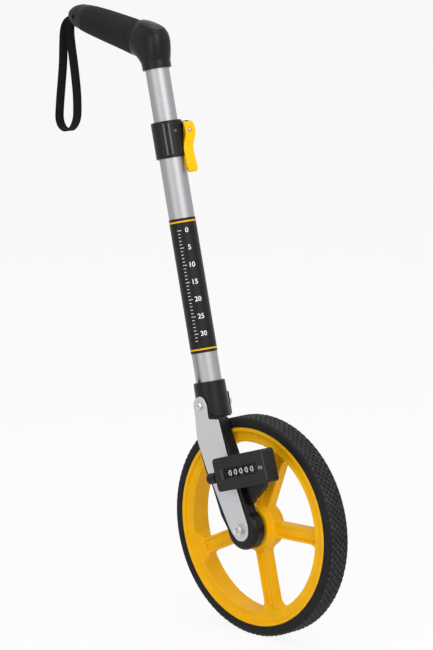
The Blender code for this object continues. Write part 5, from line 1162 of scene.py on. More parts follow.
class MakeClamp(bpy.types.Operator):
    """Split collar between the tubes, with its yellow cam lever, bolt, washer and nut"""
    bl_idname = "measuring_wheel.clamp"
    bl_label = "Clamp and lever"

    def execute(self, context):
        bore, lip = LOWER_TUBE_RADIUS + GAP, UPPER_TUBE_RADIUS + GAP
        edge = 0.001
        profile = [(bore, -CLAMP_END), (CLAMP_RADIUS - edge, -CLAMP_END), (CLAMP_RADIUS, -CLAMP_END + edge),
                   (CLAMP_RADIUS, -CLAMP_TOP - edge), (CLAMP_RADIUS - edge, -CLAMP_TOP), (lip, -CLAMP_TOP),
                   (lip, -CLAMP_TOP - CLAMP_LIP), (bore, -CLAMP_TOP - CLAMP_LIP)]
        collar = build("clamp_body", turned(profile, SIDES_TUBE), "clamp_black", CLAMP)
        side = CLAMP_SLIT / 2 + EAR_THICKNESS
        ears = prism(rounded([(bore, -EAR_END), (EAR_REACH, -EAR_END), (EAR_REACH, -EAR_TOP), (bore, -EAR_TOP)],
                             [0.0, EAR_ROUND, EAR_ROUND, 0.0]), -side, side)
        join(collar, (ears, CLAMP))
        place = at(TUBE @ Matrix.Rotation(CLAMP_SCREW_TURN, 4, "Z"), CLAMP_RADIUS - 0.0002, z=-CLAMP_SCREW_DOWN)
        # The small screw is light grey: partly its own dark grey, partly a painted highlight.
        ribs = [cross_screw("collar_screw", 0.0022, 0.0009, 0.001, 0.003, place @ Matrix.Rotation(pi / 2, 4, "Z"),
                            "rib_grey")]
        # The ribs' light grey is a painted highlight along their edges.
        for turn in CLAMP_RIB_TURNS:
            rib = panel(CLAMP_RADIUS - 0.001, CLAMP_RADIUS + 0.001, -CLAMP_RIB_HALF, CLAMP_RIB_HALF,
                        [0.0, 0.0007, 0.0007, 0.0], 4)
            rib = prism(rib, -CLAMP_END + CLAMP_RIB_IN, -CLAMP_TOP - CLAMP_RIB_IN, "Z")
            ribs.append(build("rib", rib, "rib_grey", TUBE @ Matrix.Rotation(turn, 4, "Z")))
        bolt_line = at(CLAMP, BOLT_OUT, z=-PIVOT_DOWN)
        height = (-CLAMP_END - 0.003, -CLAMP_TOP + OVERRUN)
        cut(collar, (box((0.0, EAR_REACH + OVERRUN), (-CLAMP_SLIT / 2, CLAMP_SLIT / 2), height), CLAMP),
            (box((BOLT_OUT - LEVER_WIDTH / 2 - GAP, EAR_REACH + OVERRUN), (-DEEP_CUT, -side), height), CLAMP),
            (drill(CLAMP_HOLE), bolt_line))
        show(merge(soften(collar, 0.0006), *ribs), "lower", "clamp_collar", slot="black_plastic")

        ring = washer(0.0045, CLAMP_HOLE, side + GAP, side + GAP + CLAMP_WASHER)
        show(build("clamp_washer_dressed", ring, "screw_zinc", bolt_line), "lower", "clamp_washer", slot="steel")
        start = side + 2 * GAP + CLAMP_WASHER
        end = start + 0.0035
        show(nut("clamp_nut_dressed", 0.0037, CLAMP_HOLE, start, end, bolt_line), "lower", "clamp_nut", slot="steel")
        out = side + GAP + LEVER_HEAD
        tip = -(out + BARREL_RADIUS - GAP)
        bolt = turned([(0.0, tip), (0.0016, tip), (0.002, tip + 0.0004), (0.002, end - 0.0004), (0.0016, end),
                       (0.0, end)], SIDES_SCREW, "Y")
        show(build("clamp_bolt_dressed", bolt, "screw_zinc", bolt_line), "lower", "clamp_bolt", slot="steel")

        place = at(bolt_line, y=-out)
        run = LEVER_LENGTH - LEVER_HEAD + LEVER_EXTRA
        yellow = "lever_yellow"

        def sides_of(shares):
            return [(LEVER_HEAD - depth * LEVER_DEPTH, -down * run) for depth, down in shares]

        def broad_side(inset):
            """Outline of the broad side, its edges moved inwards by a wall."""
            left = [(x * LEVER_WIDTH + inset, -z * run) for x, z in through(LEVER_LEFT_SHARES, 4)]
            right = [(x * LEVER_WIDTH - inset, -z * run) for x, z in through(LEVER_RIGHT_SHARES, 4)]
            return [(x, max(z, inset - run)) for x, z in left + right]

        head = [(LEVER_HEAD * cos(pi * k / 24), LEVER_HEAD * sin(pi * k / 24)) for k in range(24)]
        outline = head + through(sides_of(LEVER_OUTER_SHARES), 7) + through(sides_of(LEVER_INNER_SHARES), 4)
        far = 2 * LEVER_WIDTH
        lever = build("lever_body", prism(outline, -far, far, "X"), yellow, place)
        shape(lever, "INTERSECT", (prism(broad_side(0.0), -far, far), place))
        room = [(y + LEVER_WALL, z) for y, z in through(sides_of(LEVER_OUTER_SHARES[2:-3]), 4)]
        back = LEVER_HEAD + OVERRUN
        cavity = build("cavity", prism([(back, room[0][1])] + room + [(back, room[-1][1])], -far, far, "X"), yellow,
                       place)
        shape(cavity, "INTERSECT", (prism(broad_side(LEVER_WALL), -far, far), place))
        free = LEVER_HEAD - LEVER_WALL
        rivet = at(place, y=-LEVER_HEAD - 0.0015, z=-LEVER_RIVET_DOWN)
        cut(lever, cavity, (box((-free, free), (-free, back), (room[0][1] - OVERRUN, DEEP_CUT)), place),
            (rod(BARREL_RADIUS + GAP, -DEEP_CUT, LEVER_WIDTH / 2 + GAP, SIDES_TUBE, "X"), place),
            (rod(LEVER_RIVET_RADIUS + 0.0012, -0.004, 0.0016), rivet),
            (rod(CLAMP_RADIUS + 2 * GAP, -CLAMP_END - 2 * GAP, -0.05, SIDES_TUBE, "Z"), CLAMP),
            (rod(LOWER_TUBE_RADIUS + 2 * GAP, -0.3, -CLAMP_END, SIDES_TUBE, "Z"), CLAMP))
        radius = LEVER_RIVET_RADIUS
        stud = turned([(0.0, -0.0006), (radius * 0.45, -0.0005), (radius * 0.85, -0.0001), (radius, 0.0005),
                       (radius, 0.0016), (0.0, 0.0016)], SIDES_SCREW, "Y")
        soften(lever, 0.0007, 3, radians(50.0))
        merge(lever, build("stud", stud, "works_steel", rivet))
        show(lever, "lever", "cam_lever", slot="yellow_plastic")
        half = LEVER_WIDTH / 2
        barrel = turned([(0.0, -half), (BARREL_RADIUS - 0.0005, -half), (BARREL_RADIUS, -half + 0.0005),
                         (BARREL_RADIUS, half - 0.0005), (BARREL_RADIUS - 0.0005, half), (0.0, half)],
                        SIDES_SCREW, "X")
        barrel = build("barrel_dressed", barrel, "works_steel", place)
        # Parted along the bolt, which it turns round
        cut(barrel, (box((-CLAMP_HOLE, CLAMP_HOLE), (-0.01, 0.01), (-0.01, 0.01)), place))
        show(barrel, "lever", "lever_barrel", slot="steel")
        return {"FINISHED"}


# Side arm and plates

SOCKET_RADIUS, SOCKET_FOOT_RADIUS, SOCKET_PAD = 0.023, 0.024, 0.0024
PLATE_FACE = -0.0243
PLATE_THICKNESS = 0.0015
ARM_BACK = -0.0066
BOSS_RADIUS, BOSS_ROUND = 0.030, 0.006
BRACKET_FACE = -0.0166
BLADE_WIDTH, BRACKET_REACH = 0.060, 0.075
PLATE_SHARES = ((1.070, 0.10), (1.045, 0.20), (0.990, 0.225), (0.880, 0.140), (0.845, 0.465),
                (0.560, 0.375), (0.270, 0.320), (0.000, 0.290), (-0.070, 0.200), (-0.093, 0.0),
                (-0.070, -0.200), (0.000, -0.290), (0.085, -0.335), (0.400, -0.405), (0.520, -0.455),
                (0.720, -0.450), (0.780, -0.440), (0.960, -0.250), (1.040, -0.190), (1.070, -0.08))
PLATE_ROUND_SHARES = (0.12, 0.12, 0.03, 0.05, 0.05, 0.5, 0.5, 0.3, 0.2, 0.2,
                      0.2, 0.3, 0.3, 0.3, 0.3, 0.3, 0.1, 0.1, 0.12, 0.12)
BLADE_SHARES = ((1.020, 0.18), (0.900, 0.20), (0.850, 0.500), (0.735, 0.475), (0.630, 0.480),
                (0.545, 0.480), (0.300, 0.420), (0.000, 0.400), (0.000, -0.400), (0.160, -0.500),
                (0.400, -0.480), (0.510, -0.535), (0.660, -0.515), (0.750, -0.430), (1.020, -0.20))
POCKET_SHARES = ((0.800, 0.400), (0.640, 0.415), (0.600, 0.30), (0.560, -0.30), (0.640, -0.450),
                 (0.730, -0.390), (0.820, -0.340))
INNER_PLATE_SHARES = ((0.835, 0.440), (0.735, 0.445), (0.545, 0.455), (0.300, 0.400), (0.000, 0.380),
                      (-0.120, 0.200), (-0.120, -0.200), (0.000, -0.400), (0.160, -0.460),
                      (0.400, -0.450), (0.510, -0.500), (0.650, -0.490), (0.740, -0.410),
                      (0.860, -0.360))
BRACKET_SHARES = ((0.110, 0.25), (0.155, 0.34), (0.225, 0.830), (0.310, 0.985), (0.480, 0.820),
                  (0.545, 0.400), (0.560, 0.100), (0.060, 0.05))
WORM_LEFT, WORM_DOWN = 0.0326, 0.0082
WORM = at(COUNTER, -WORM_LEFT, z=-WORM_DOWN)
# The case's hump sits in the arm: left, right and half its height
HUMP = (-0.0373, 0.0310, 0.0151)
COUNTER_SCREWS = ((-0.012, 0.009), (0.009, -0.009))
BELT_ROOM = 0.0098


def beside(shares, reach):
    return [(forward * reach, up * SIDE_LENGTH) for up, forward in shares]


def belt_outline(radius, steps=24):
    """Outline round both pulleys, beside the axle."""
    x, z = -WORM_LEFT, -WORM_DOWN
    c, s = cos(COUNTER_TILT), sin(COUNTER_TILT)
    top = Vector((COUNTER_PLACE[0] + x * c - z * s, COUNTER_PLACE[1] + x * s + z * c))
    heading = atan2(top.x, top.y)
    outline = []
    for centre, start in ((top, heading - pi / 2), (Vector((0.0, 0.0)), heading + pi / 2)):
        for k in range(steps + 1):
            turn = start + pi * k / steps
            outline.append((centre.x + radius * sin(turn), centre.y + radius * cos(turn)))
    return outline


class MakeArm(bpy.types.Operator):
    """Black socket and arm, the aluminium plate over it, and the bolts through both"""
    bl_idname = "measuring_wheel.arm"
    bl_label = "Arm and plate"

    def execute(self, context):
        black = "black_moulding"
        profile = [(0.0, -SOCKET_END), (SOCKET_FOOT_RADIUS, -SOCKET_END), (SOCKET_RADIUS, -SOCKET_TOP - 0.0015),
                   (SOCKET_RADIUS - 0.0004, -SOCKET_TOP - 0.0007), (SOCKET_RADIUS - 0.0015, -SOCKET_TOP),
                   (0.0, -SOCKET_TOP)]
        arm = build("arm_body", turned(profile, SIDES_TUBE), black, TUBE)
        blade = prism(rounded(beside(BLADE_SHARES, BLADE_WIDTH), BOSS_ROUND), PLATE_FACE + 0.0004,
                      ARM_BACK - 0.0004)
        bracket = prism(rounded(beside(BRACKET_SHARES, BRACKET_REACH), BOSS_ROUND), BRACKET_FACE,
                        ARM_BACK - 0.0008)
        profile = [(0.0, ARM_BACK), (BOSS_RADIUS, ARM_BACK)]
        profile += [(BOSS_RADIUS - BOSS_ROUND * (1 - cos(t)), PLATE_FACE + BOSS_ROUND * (1 - sin(t)))
                    for t in (pi / 2 * k / 10 for k in range(11))]
        profile.append((0.0, PLATE_FACE))
        pad = box((-0.009, 0.009), (SOCKET_RADIUS / 2, SOCKET_FOOT_RADIUS + SOCKET_PAD),
                  (-SOCKET_END + 0.0015, -SOCKET_END + 0.034))
        join(arm, (blade, SIDE), (bracket, SIDE), (turned(profile, SIDES_TUBE, "Y"), AXLE), (pad, TUBE))
        behind = ARM_BACK + OVERRUN
        pocket = prism(rounded(beside(POCKET_SHARES, BLADE_WIDTH), 0.003), PLATE_FACE + 0.0024, behind)
        left, right, half = HUMP[0] - GAP, HUMP[1] + GAP, HUMP[2] + GAP
        tools = [(rod(LOWER_TUBE_RADIUS + GAP, -SOCKET_TOP - SOCKET_DEPTH, -SOCKET_TOP + OVERRUN, SIDES_TUBE, "Z"),
                  TUBE), (drill(BOLT_HOLE), SOCKET_BOLT), (pocket, SIDE),
                 (prism(belt_outline(BELT_ROOM), BRACKET_FACE + OVERRUN, behind), AXLE), (drill(AXLE_HOLE), AXLE),
                 (rod(STEM_HOLE, -0.0108, behind, SIDES_TUBE), AXLE),
                 (rod(WORM_HOLE, -DEEP_CUT, behind), WORM),
                 (prism(panel(left, right, -half, half, 0.0), -DEEP_CUT, BRACKET_FACE), COUNTER)]
        for x, z in COUNTER_SCREWS:
            place = at(COUNTER, x, z=z)
            tools += [(rod(SCREW_HOLE, -DEEP_CUT, ARM_BACK), place),
                      (rod(SCREW_ROOM, ARM_BACK - 0.0025, behind), place)]
        cut(arm, *tools)
        show(soften(arm, 0.0007), "lower", "side_arm", slot="black_plastic")

        radii = [share * BLADE_WIDTH for share in PLATE_ROUND_SHARES]
        near = PLATE_FACE - GAP
        plate = build("near_plate", prism(rounded(beside(PLATE_SHARES, BLADE_WIDTH), radii, 10),
                                          near - PLATE_THICKNESS, near), "plate_silver", SIDE)
        cut(plate, (drill(BOLT_HOLE), at(SIDE, z=SIDE_LENGTH)), (drill(AXLE_HOLE), SIDE))
        show(soften(plate, 0.00035), "lower", "side_plate", slot="aluminium")
        far = ARM_BACK + GAP
        inner = build("far_plate", prism(rounded(beside(INNER_PLATE_SHARES, BLADE_WIDTH), BOSS_ROUND, 10), far,
                                         far + PLATE_THICKNESS), "plate_silver", SIDE)
        cut(inner, (drill(STEM_HOLE, SIDES_TUBE), SIDE))
        show(soften(inner, 0.0003), "lower", "inner_plate", slot="aluminium")

        seat = PLATE_FACE - 2 * GAP - PLATE_THICKNESS
        start = SOCKET_FOOT_RADIUS + SOCKET_PAD + GAP
        nut_start = start + PLATE_WASHER + GAP
        bolt = cross_screw("socket_bolt_dressed", 0.0055, 0.0036, 0.003, nut_start + 0.0042 - seat,
                           at(SOCKET_BOLT, y=seat))
        show(bolt, "lower", "socket_bolt", slot="zinc")
        show(build("socket_washer_dressed", washer(0.0075, BOLT_HOLE, start, start + PLATE_WASHER), "screw_zinc",
                   SOCKET_BOLT), "lower", "socket_washer", slot="zinc")
        show(nut("socket_nut_dressed", 0.0058, BOLT_HOLE, nut_start, nut_start + 0.0042, SOCKET_BOLT), "lower",
             "socket_nut", slot="zinc")

        head_seat = seat - PLATE_WASHER - GAP
        hub_end = WHEEL_OFFSET + HUB_HALF_WIDTH + GAP
        nut_start = hub_end + PLATE_WASHER + GAP
        bolt = socket_screw("axle_bolt_dressed", 0.0075, 0.0045, 0.004, nut_start + 0.0075 - head_seat, 0.0038,
                            at(AXLE, y=head_seat))
        show(bolt, "lower", "axle_bolt", slot="zinc")
        for name, radius, begin in (("axle_head_washer", 0.0095, seat - PLATE_WASHER),
                                    ("axle_washer", 0.0075, hub_end)):
            ring = washer(radius, AXLE_HOLE, begin, begin + PLATE_WASHER)
            show(build(name + "_dressed", ring, "screw_zinc", AXLE), "lower", name, slot="zinc")
        show(nut("axle_nut_dressed", 0.0068, AXLE_HOLE, nut_start, nut_start + 0.006, AXLE), "lower", "axle_nut",
             slot="zinc")
        return {"FINISHED"}


# Wheel and tyre

RIM_RADIUS, RIM_WIDTH, RIM_HALF_WIDTH, RIM_LIP, RIM_STEP = 0.144, 0.0205, 0.0183, 0.006, 0.0035
WINDOW_RADIUS = RIM_RADIUS - RIM_WIDTH
WEB_HALF_WIDTH = 0.0070
SPOKE_WIDTH, SPOKE_FLARE = 0.022, 0.015
HUB_RADIUS, HUB_HALF_WIDTH = 0.033, 0.017
HUB_GROOVE = ((0.0215, 0.0162), (0.0265, 0.0162), (0.0268, 0.018), (0.0212, 0.018))
SPOKE_ANGLES = tuple(radians(a) for a in (2.0, 69.0, 138.0, 205.0, 284.0))
CHANNEL_EDGE, CHANNEL_DEPTH = 0.0035, 0.0035
BEARING_RADIUS, BEARING_WIDTH, SPACER_RADIUS = 0.011, 0.006, 0.0062
TYRE_RADIUS, TYRE_HALF_WIDTH, TYRE_SHOULDER, SHOULDER_FALL = 0.15915, 0.0184, 0.0045, 0.55
# A tread block's length, width and height, as shares of the step, the row pitch and the tread's height
BLOCK_SHARES = (0.72, 0.80, 1.8)
BLOCK_SLANT, BLOCK_TOP, BLOCK_SKEW, BLOCK_JITTER = 0.45, 0.86, 0.35, 0.22


def window_outline(start, end):
    """Opening between two spokes, its corners rounded towards the rim and the hub."""
    half = SPOKE_WIDTH / 2
    inner = HUB_RADIUS + SPOKE_FLARE / 3
    first, last = start + asin(half / WINDOW_RADIUS), end - asin(half / WINDOW_RADIUS)
    steps = 32
    outer = [(WINDOW_RADIUS * cos(first + (last - first) * k / steps),
              WINDOW_RADIUS * sin(first + (last - first) * k / steps)) for k in range(steps + 1)]
    near, far = end - asin(half / inner), start + asin(half / inner)
    points = outer + [(inner * cos(t), inner * sin(t)) for t in (near, far)]
    radii = [SPOKE_FLARE] + [0.0] * (steps - 1) + [SPOKE_FLARE, SPOKE_FLARE / 3, SPOKE_FLARE / 3]
    outline = []
    count = len(points)
    for i, radius in enumerate(radii):
        corner = Vector(points[i])
        if radius == 0.0:
            if 4 < i < steps - 4:
                outline.append(points[i])
            continue
        before, after = Vector(points[i - 1]) - corner, Vector(points[(i + 1) % count]) - corner
        half_turn = before.angle(after) / 2
        reach = radius / tan(half_turn)
        before.normalize()
        after.normalize()
        centre = corner + (before + after).normalized() * reach / cos(half_turn)
        arm = corner + before * reach - centre
        sweep = arm.angle_signed(corner + after * reach - centre)
        outline += [tuple(centre + Matrix.Rotation(-sweep * k / 12, 2) @ arm) for k in range(13)]
    return outline


class MakeWheel(bpy.types.Operator):
    """Yellow wheel with five channelled spokes"""
    bl_idname = "measuring_wheel.wheel"
    bl_label = "Wheel"

    def execute(self, context):
        yellow = "wheel_yellow"
        foot = WINDOW_RADIUS - RIM_STEP
        half = [(HUB_RADIUS - 0.0015, -HUB_HALF_WIDTH), (HUB_RADIUS - 0.0004, -HUB_HALF_WIDTH + 0.0004),
                (HUB_RADIUS, -HUB_HALF_WIDTH + 0.0015), (HUB_RADIUS + 0.0006, -0.0095),
                (HUB_RADIUS + 0.0014, -0.0080), (HUB_RADIUS + 0.003, -0.0070), (foot - 0.002, -0.0070),
                (foot, -0.0078), (WINDOW_RADIUS - 0.0012, -0.0115), (WINDOW_RADIUS, -0.0144),
                (WINDOW_RADIUS + 0.0008, -0.0154), (WINDOW_RADIUS + 0.0022, -0.0156),
                (WINDOW_RADIUS + 0.0045, -0.0146), (WINDOW_RADIUS + 0.0085, -0.0138),
                (RIM_RADIUS - 0.0078, -0.0140), (RIM_RADIUS - 0.0066, -0.0148),
                (RIM_RADIUS - RIM_LIP, -0.0170), (RIM_RADIUS - 0.0053, -0.0181),
                (RIM_RADIUS - 0.0042, -RIM_HALF_WIDTH), (RIM_RADIUS - 0.0008, -RIM_HALF_WIDTH),
                (RIM_RADIUS, -RIM_HALF_WIDTH + 0.0008)]
        profile = [(0.0, -HUB_HALF_WIDTH)] + half + [(r, -y) for r, y in reversed(half)]
        profile.append((0.0, HUB_HALF_WIDTH))
        wheel = build("wheel_body", turned(profile, SIDES_WHEEL, "Y"), yellow, WHEEL)
        turns = list(SPOKE_ANGLES) + [SPOKE_ANGLES[0] + 2 * pi]
        windows = [build("window", prism(window_outline(a, b), -0.05, 0.05), yellow, WHEEL)
                   for a, b in zip(turns, turns[1:])]
        width = SPOKE_WIDTH / 2 - CHANNEL_EDGE
        outline = panel(HUB_RADIUS + CHANNEL_EDGE, foot - CHANNEL_EDGE, -width, width, width / 2)
        channels = []
        for turn in SPOKE_ANGLES:
            for sign in (-1.0, 1.0):
                channels.append(build("channel", prism(outline, sign * (WEB_HALF_WIDTH - CHANNEL_DEPTH),
                                                       sign * (WEB_HALF_WIDTH + 0.0006), draft=1.03), yellow,
                                      WHEEL @ Matrix.Rotation(-turn, 4, "Y")))
        seat = HUB_HALF_WIDTH - BEARING_WIDTH - 0.0002
        bore = turned([(0.0, -0.05), (BEARING_RADIUS + GAP, -0.05), (BEARING_RADIUS + GAP, -seat),
                       (SPACER_RADIUS + 2 * GAP, -seat), (SPACER_RADIUS + 2 * GAP, seat),
                       (BEARING_RADIUS + GAP, seat), (BEARING_RADIUS + GAP, 0.05), (0.0, 0.05)],
                      SIDES_TUBE, "Y")
        rings = []
        for sign in (-1.0, 1.0):
            groove = turned([(radius, sign * out) for radius, out in HUB_GROOVE], SIDES_TUBE, "Y")
            rings.append(build("hub_groove", groove, yellow, WHEEL))
        cut(wheel, merge(*windows), merge(*channels), (bore, WHEEL), merge(*rings))
        show(soften(wheel, 0.0006), "wheel", "wheel", slot="yellow_plastic")
        return {"FINISHED"}


class MakeTyre(bpy.types.Operator):
    """Solid tyre: smooth walls and a band of small blocks round the tread"""
    bl_idname = "measuring_wheel.tyre"
    bl_label = "Tyre"

    def execute(self, context):
        tread = context.scene.wheel_tread
        casing = TYRE_RADIUS - tread.height
        inner = RIM_RADIUS + GAP
        half = [(inner, -TYRE_HALF_WIDTH), (inner + 0.0015, -TYRE_HALF_WIDTH),
                (inner + 0.0022, -TYRE_HALF_WIDTH + 0.0005), (inner + 0.0030, -TYRE_HALF_WIDTH + 0.0005),
                (inner + 0.0036, -TYRE_HALF_WIDTH), (casing - 0.0047, -TYRE_HALF_WIDTH),
                (casing - 0.0034, -TYRE_HALF_WIDTH + 0.0002), (casing - 0.0018, -TYRE_HALF_WIDTH + 0.0011),
                (casing - 0.0006, -TYRE_HALF_WIDTH + 0.0026), (casing, -TYRE_HALF_WIDTH + TYRE_SHOULDER)]
        bm = turned(half + [(r, -y) for r, y in reversed(half)], SIDES_WHEEL, "Y")
        tyre = build("tyre_casing", bm, "tyre_rubber", WHEEL, radians(30.0))

        pitch = 2 * (TYRE_HALF_WIDTH - 0.0021) / tread.rows
        step = 2 * pi * casing / tread.columns
        bm = bmesh.new()
        bmesh.ops.create_cube(bm, size=1.0)
        sizes = [share * size for share, size in zip(BLOCK_SHARES, (step, pitch, tread.height))]
        bm.transform(Matrix.Diagonal((*sizes, 1.0)))
        for vert in bm.verts:
            vert.co.x += vert.co.y * BLOCK_SLANT
            if vert.co.z > 0.0:
                vert.co.x, vert.co.y = vert.co.x * BLOCK_TOP, vert.co.y * BLOCK_TOP
        bmesh.ops.bevel(bm, geom=[e for e in bm.edges if e.verts[0].co.z > 0 and e.verts[1].co.z > 0],
                        offset=0.0003, segments=1, affect="EDGES")
        block = build("block", bm, "tread_rubber")
        blocks = run_tree("tread_blocks", tree_named("ring"),
                          {"Piece": block, "Columns": tread.columns, "Rows": tread.rows,
                           "Radius": casing + tread.height * 0.1, "Row pitch": pitch, "Skew": BLOCK_SKEW,
                           "Jitter": BLOCK_JITTER, "Seed": tread.seed, "Material": MATERIALS["tread_rubber"]})
        bpy.data.objects.remove(block, do_unlink=True)
        for vert in blocks.data.vertices:
            out = hypot(vert.co.x, vert.co.z)
            fall = max(0.0, abs(vert.co.y) - (TYRE_HALF_WIDTH - TYRE_SHOULDER)) * SHOULDER_FALL
            scale = min(out - fall, TYRE_RADIUS) / out
            vert.co.x, vert.co.z = vert.co.x * scale, vert.co.z * scale
        blocks.data.transform(WHEEL)
        show(merge(tyre, blocks), "wheel", "tyre", slot="tyre_rubber")
        return {"FINISHED"}


# Counter

COUNTER_LENGTH, COUNTER_HEIGHT, COUNTER_ROUND, COUNTER_WALL = 0.107, 0.048, 0.006, 0.002
COUNTER_BACK, COUNTER_FRONT, COVER_THICKNESS = -0.0265, -0.047, 0.0015
END_PLATE_THICKNESS, END_ROUND = 0.003, 0.0055
MASK_LEFT, MASK_RIGHT, MASK_HALF = -0.030, 0.028, 0.0047
MASK_LAP, MASK_PLACE, PANE_PLACE = 0.0006, (-0.0456, -0.0452), (-0.0467, -0.0459)
UNIT_HEIGHT, UNIT_RIGHT = 0.0046, 0.0415
# The two thin light lines left of the window, painted highlights along the window's edge: place, low and high end
LINE_PLACES, LINE_HALF = ((-0.0402, -0.0078, 0.0064), (-0.0372, -0.0070, 0.0072)), 0.00035
WINDOW_LEFT, WINDOW_RIGHT, WINDOW_HEIGHT = 0.035, 0.0335, 0.016
DRUM_BACK = -0.0317
DRUM_RADIUS, DRUM_WIDTH, DRUM_PITCH, DRUM_FIRST = 0.0132, 0.0107, 0.0113, 0.0235
DRUM_BODIES = {1: "drum_1", 2: "drum_2", 3: "drum_3", 4: "drum_4", 5: "metre_drum"}
CARRY_OUT, CARRY_UP = 0.0032, 0.0172
HUMP_WALL = 0.0013
KNOB_LENGTH, KNOB_RIBS = 0.016, 24
# Ends of a rib and of the groove after it, as shares of both together, with the radius there
KNOB_SHARES = ((0.04, 0.0078), (0.46, 0.0078), (0.62, 0.0069), (0.88, 0.0069))
RESET = at(COUNTER, y=-0.041, z=-0.003)
DIGIT_HEIGHT, DIGIT_WIDER, DIGIT_RELIEF, DIGIT_STEP = 0.0079, 1.3, 0.00006, 0.0008


class MakeCounter(bpy.types.Operator):
    """Counter case, cover with its mask, clear pane and the screws that hold it"""
    bl_idname = "measuring_wheel.counter"
    bl_label = "Counter case"

    def execute(self, context):
        black = "counter_black"
        left, right = -COUNTER_LENGTH / 2, COUNTER_LENGTH / 2 - END_PLATE_THICKNESS - GAP
        half = COUNTER_HEIGHT / 2
        front = COUNTER_FRONT + COVER_THICKNESS + GAP
        hump_back = BRACKET_FACE - GAP
        end = COUNTER_LENGTH / 2
        body = rounded([(left, -half), (end, -half), (end, half), (left, half)],
                       [COUNTER_ROUND, END_ROUND, END_ROUND, COUNTER_ROUND])
        beyond = ((right, end + 0.01), ACROSS, ACROSS)
        case = build("case_body", prism(body, front, COUNTER_BACK), black, COUNTER)
        hump_left, hump_right, hump_half = HUMP
        join(case, (prism(panel(hump_left, hump_right, -hump_half, hump_half, 0.0), COUNTER_BACK - 0.001,
                          hump_back), COUNTER))
        inner, hump_inner = half - COUNTER_WALL, hump_half - HUMP_WALL
        seats = (left + 0.0005, right - 0.0005, SIDES_SCREW, "X")
        tools = [(prism(panel(left + COUNTER_WALL, right - COUNTER_WALL, -inner, inner, 0.004), front - OVERRUN,
                        COUNTER_BACK - COUNTER_WALL), COUNTER),
                 (prism(panel(hump_left + HUMP_WALL, hump_right - HUMP_WALL, -hump_inner, hump_inner, 0.0),
                        front - OVERRUN, hump_back - HUMP_WALL), COUNTER),
                 (rod(0.0023, *seats), at(COUNTER, y=DRUM_BACK)),
                 (rod(0.0015, *seats), at(COUNTER, y=DRUM_BACK - CARRY_OUT, z=CARRY_UP)),
                 (rod(RESET_HOLE, left - OVERRUN, left + 0.004, SIDES_SCREW, "X"), RESET),
                 (rod(WORM_HOLE, DRUM_BACK, -GAP), WORM), (box(*beyond), COUNTER)]
        tools += [(rod(SCREW_HOLE, hump_back - 0.0033, hump_back + OVERRUN), at(COUNTER, x, z=z))
                  for x, z in COUNTER_SCREWS]
        cut(case, *tools)
        show(soften(case, 0.0005), "lower", "counter_case", slot="dark_plastic")

        cover = build("cover_body", prism(body, COUNTER_FRONT, COUNTER_FRONT + COVER_THICKNESS), black, COUNTER)
        opening = panel(-WINDOW_LEFT, WINDOW_RIGHT, -WINDOW_HEIGHT / 2, WINDOW_HEIGHT / 2, 0.0008)
        cut(cover, (prism(opening, -DEEP_CUT, 0.0), COUNTER), (box(*beyond), COUNTER))
        soften(cover, 0.0004, 3)
        lap, mask_high = MASK_LAP, WINDOW_HEIGHT / 2 + MASK_LAP
        mask = build("mask", box((-WINDOW_LEFT - lap, WINDOW_RIGHT + lap), MASK_PLACE, (-mask_high, mask_high)),
                     "drum_black", COUNTER)
        hole = panel(MASK_LEFT, MASK_RIGHT, -MASK_HALF, MASK_HALF, 0.0006)
        cut(mask, (prism(hole, -0.05, -0.04), COUNTER))
        mark = glyphs("unit_mark", "m", UNIT_HEIGHT, 0.0001, "mark_grey")
        mark.data.transform(at(COUNTER, UNIT_RIGHT, COUNTER_FRONT - 0.00005, -0.001)
                            @ Matrix.Rotation(pi / 2, 4, "X") @ Matrix.Diagonal((1.1, 1.0, 1.0, 1.0)))
        # Thin light strips beside the window and along the right end of the front: painted highlights on edges that
        # catch the light
        edge = (right - 0.0006, right + 0.0001, -half + 0.005, half - 0.003, 0.0002)
        lines = [build("line_mark", prism(panel(*sizes), COUNTER_FRONT - proud, COUNTER_FRONT + 0.0003), "rib_grey",
                       COUNTER)
                 for sizes, proud in [((x - LINE_HALF, x + LINE_HALF, low, high, 0.0003), 0.00012)
                                      for x, low, high in LINE_PLACES] + [(edge, 0.00008)]]
        merge(cover, mask, mark, *lines)
        show(cover, "lower", "counter_cover", slot="dark_plastic")

        pane = prism(panel(-WINDOW_LEFT + GAP, WINDOW_RIGHT - GAP, -WINDOW_HEIGHT / 2 + GAP,
                           WINDOW_HEIGHT / 2 - GAP, 0.0006), *PANE_PLACE)
        show(soften(build("clear_pane", pane, "counter_pane", COUNTER), 0.0002), "lower", "counter_window",
             slot="clear")
        plate = build("end_plate_dressed", prism(body, COUNTER_FRONT, COUNTER_BACK), black, COUNTER)
        cut(plate, (box((-DEEP_CUT, end - END_PLATE_THICKNESS), ACROSS, ACROSS), COUNTER))
        show(soften(plate, 0.0005, 3), "lower", "counter_end_plate", slot="dark_plastic")
        seat = ARM_BACK - 0.0022
        for number, (x, z) in enumerate(COUNTER_SCREWS, 1):
            screw = cross_screw(f"counter_screw_dressed_{number}", 0.0034, 0.0019, 0.0016,
                                seat - (hump_back - HUMP_WALL), at(COUNTER, x, seat, z) @ Matrix.Rotation(pi, 4, "Z"))
            show(screw, "lower", f"counter_screw_{number}", slot="steel")
        return {"FINISHED"}


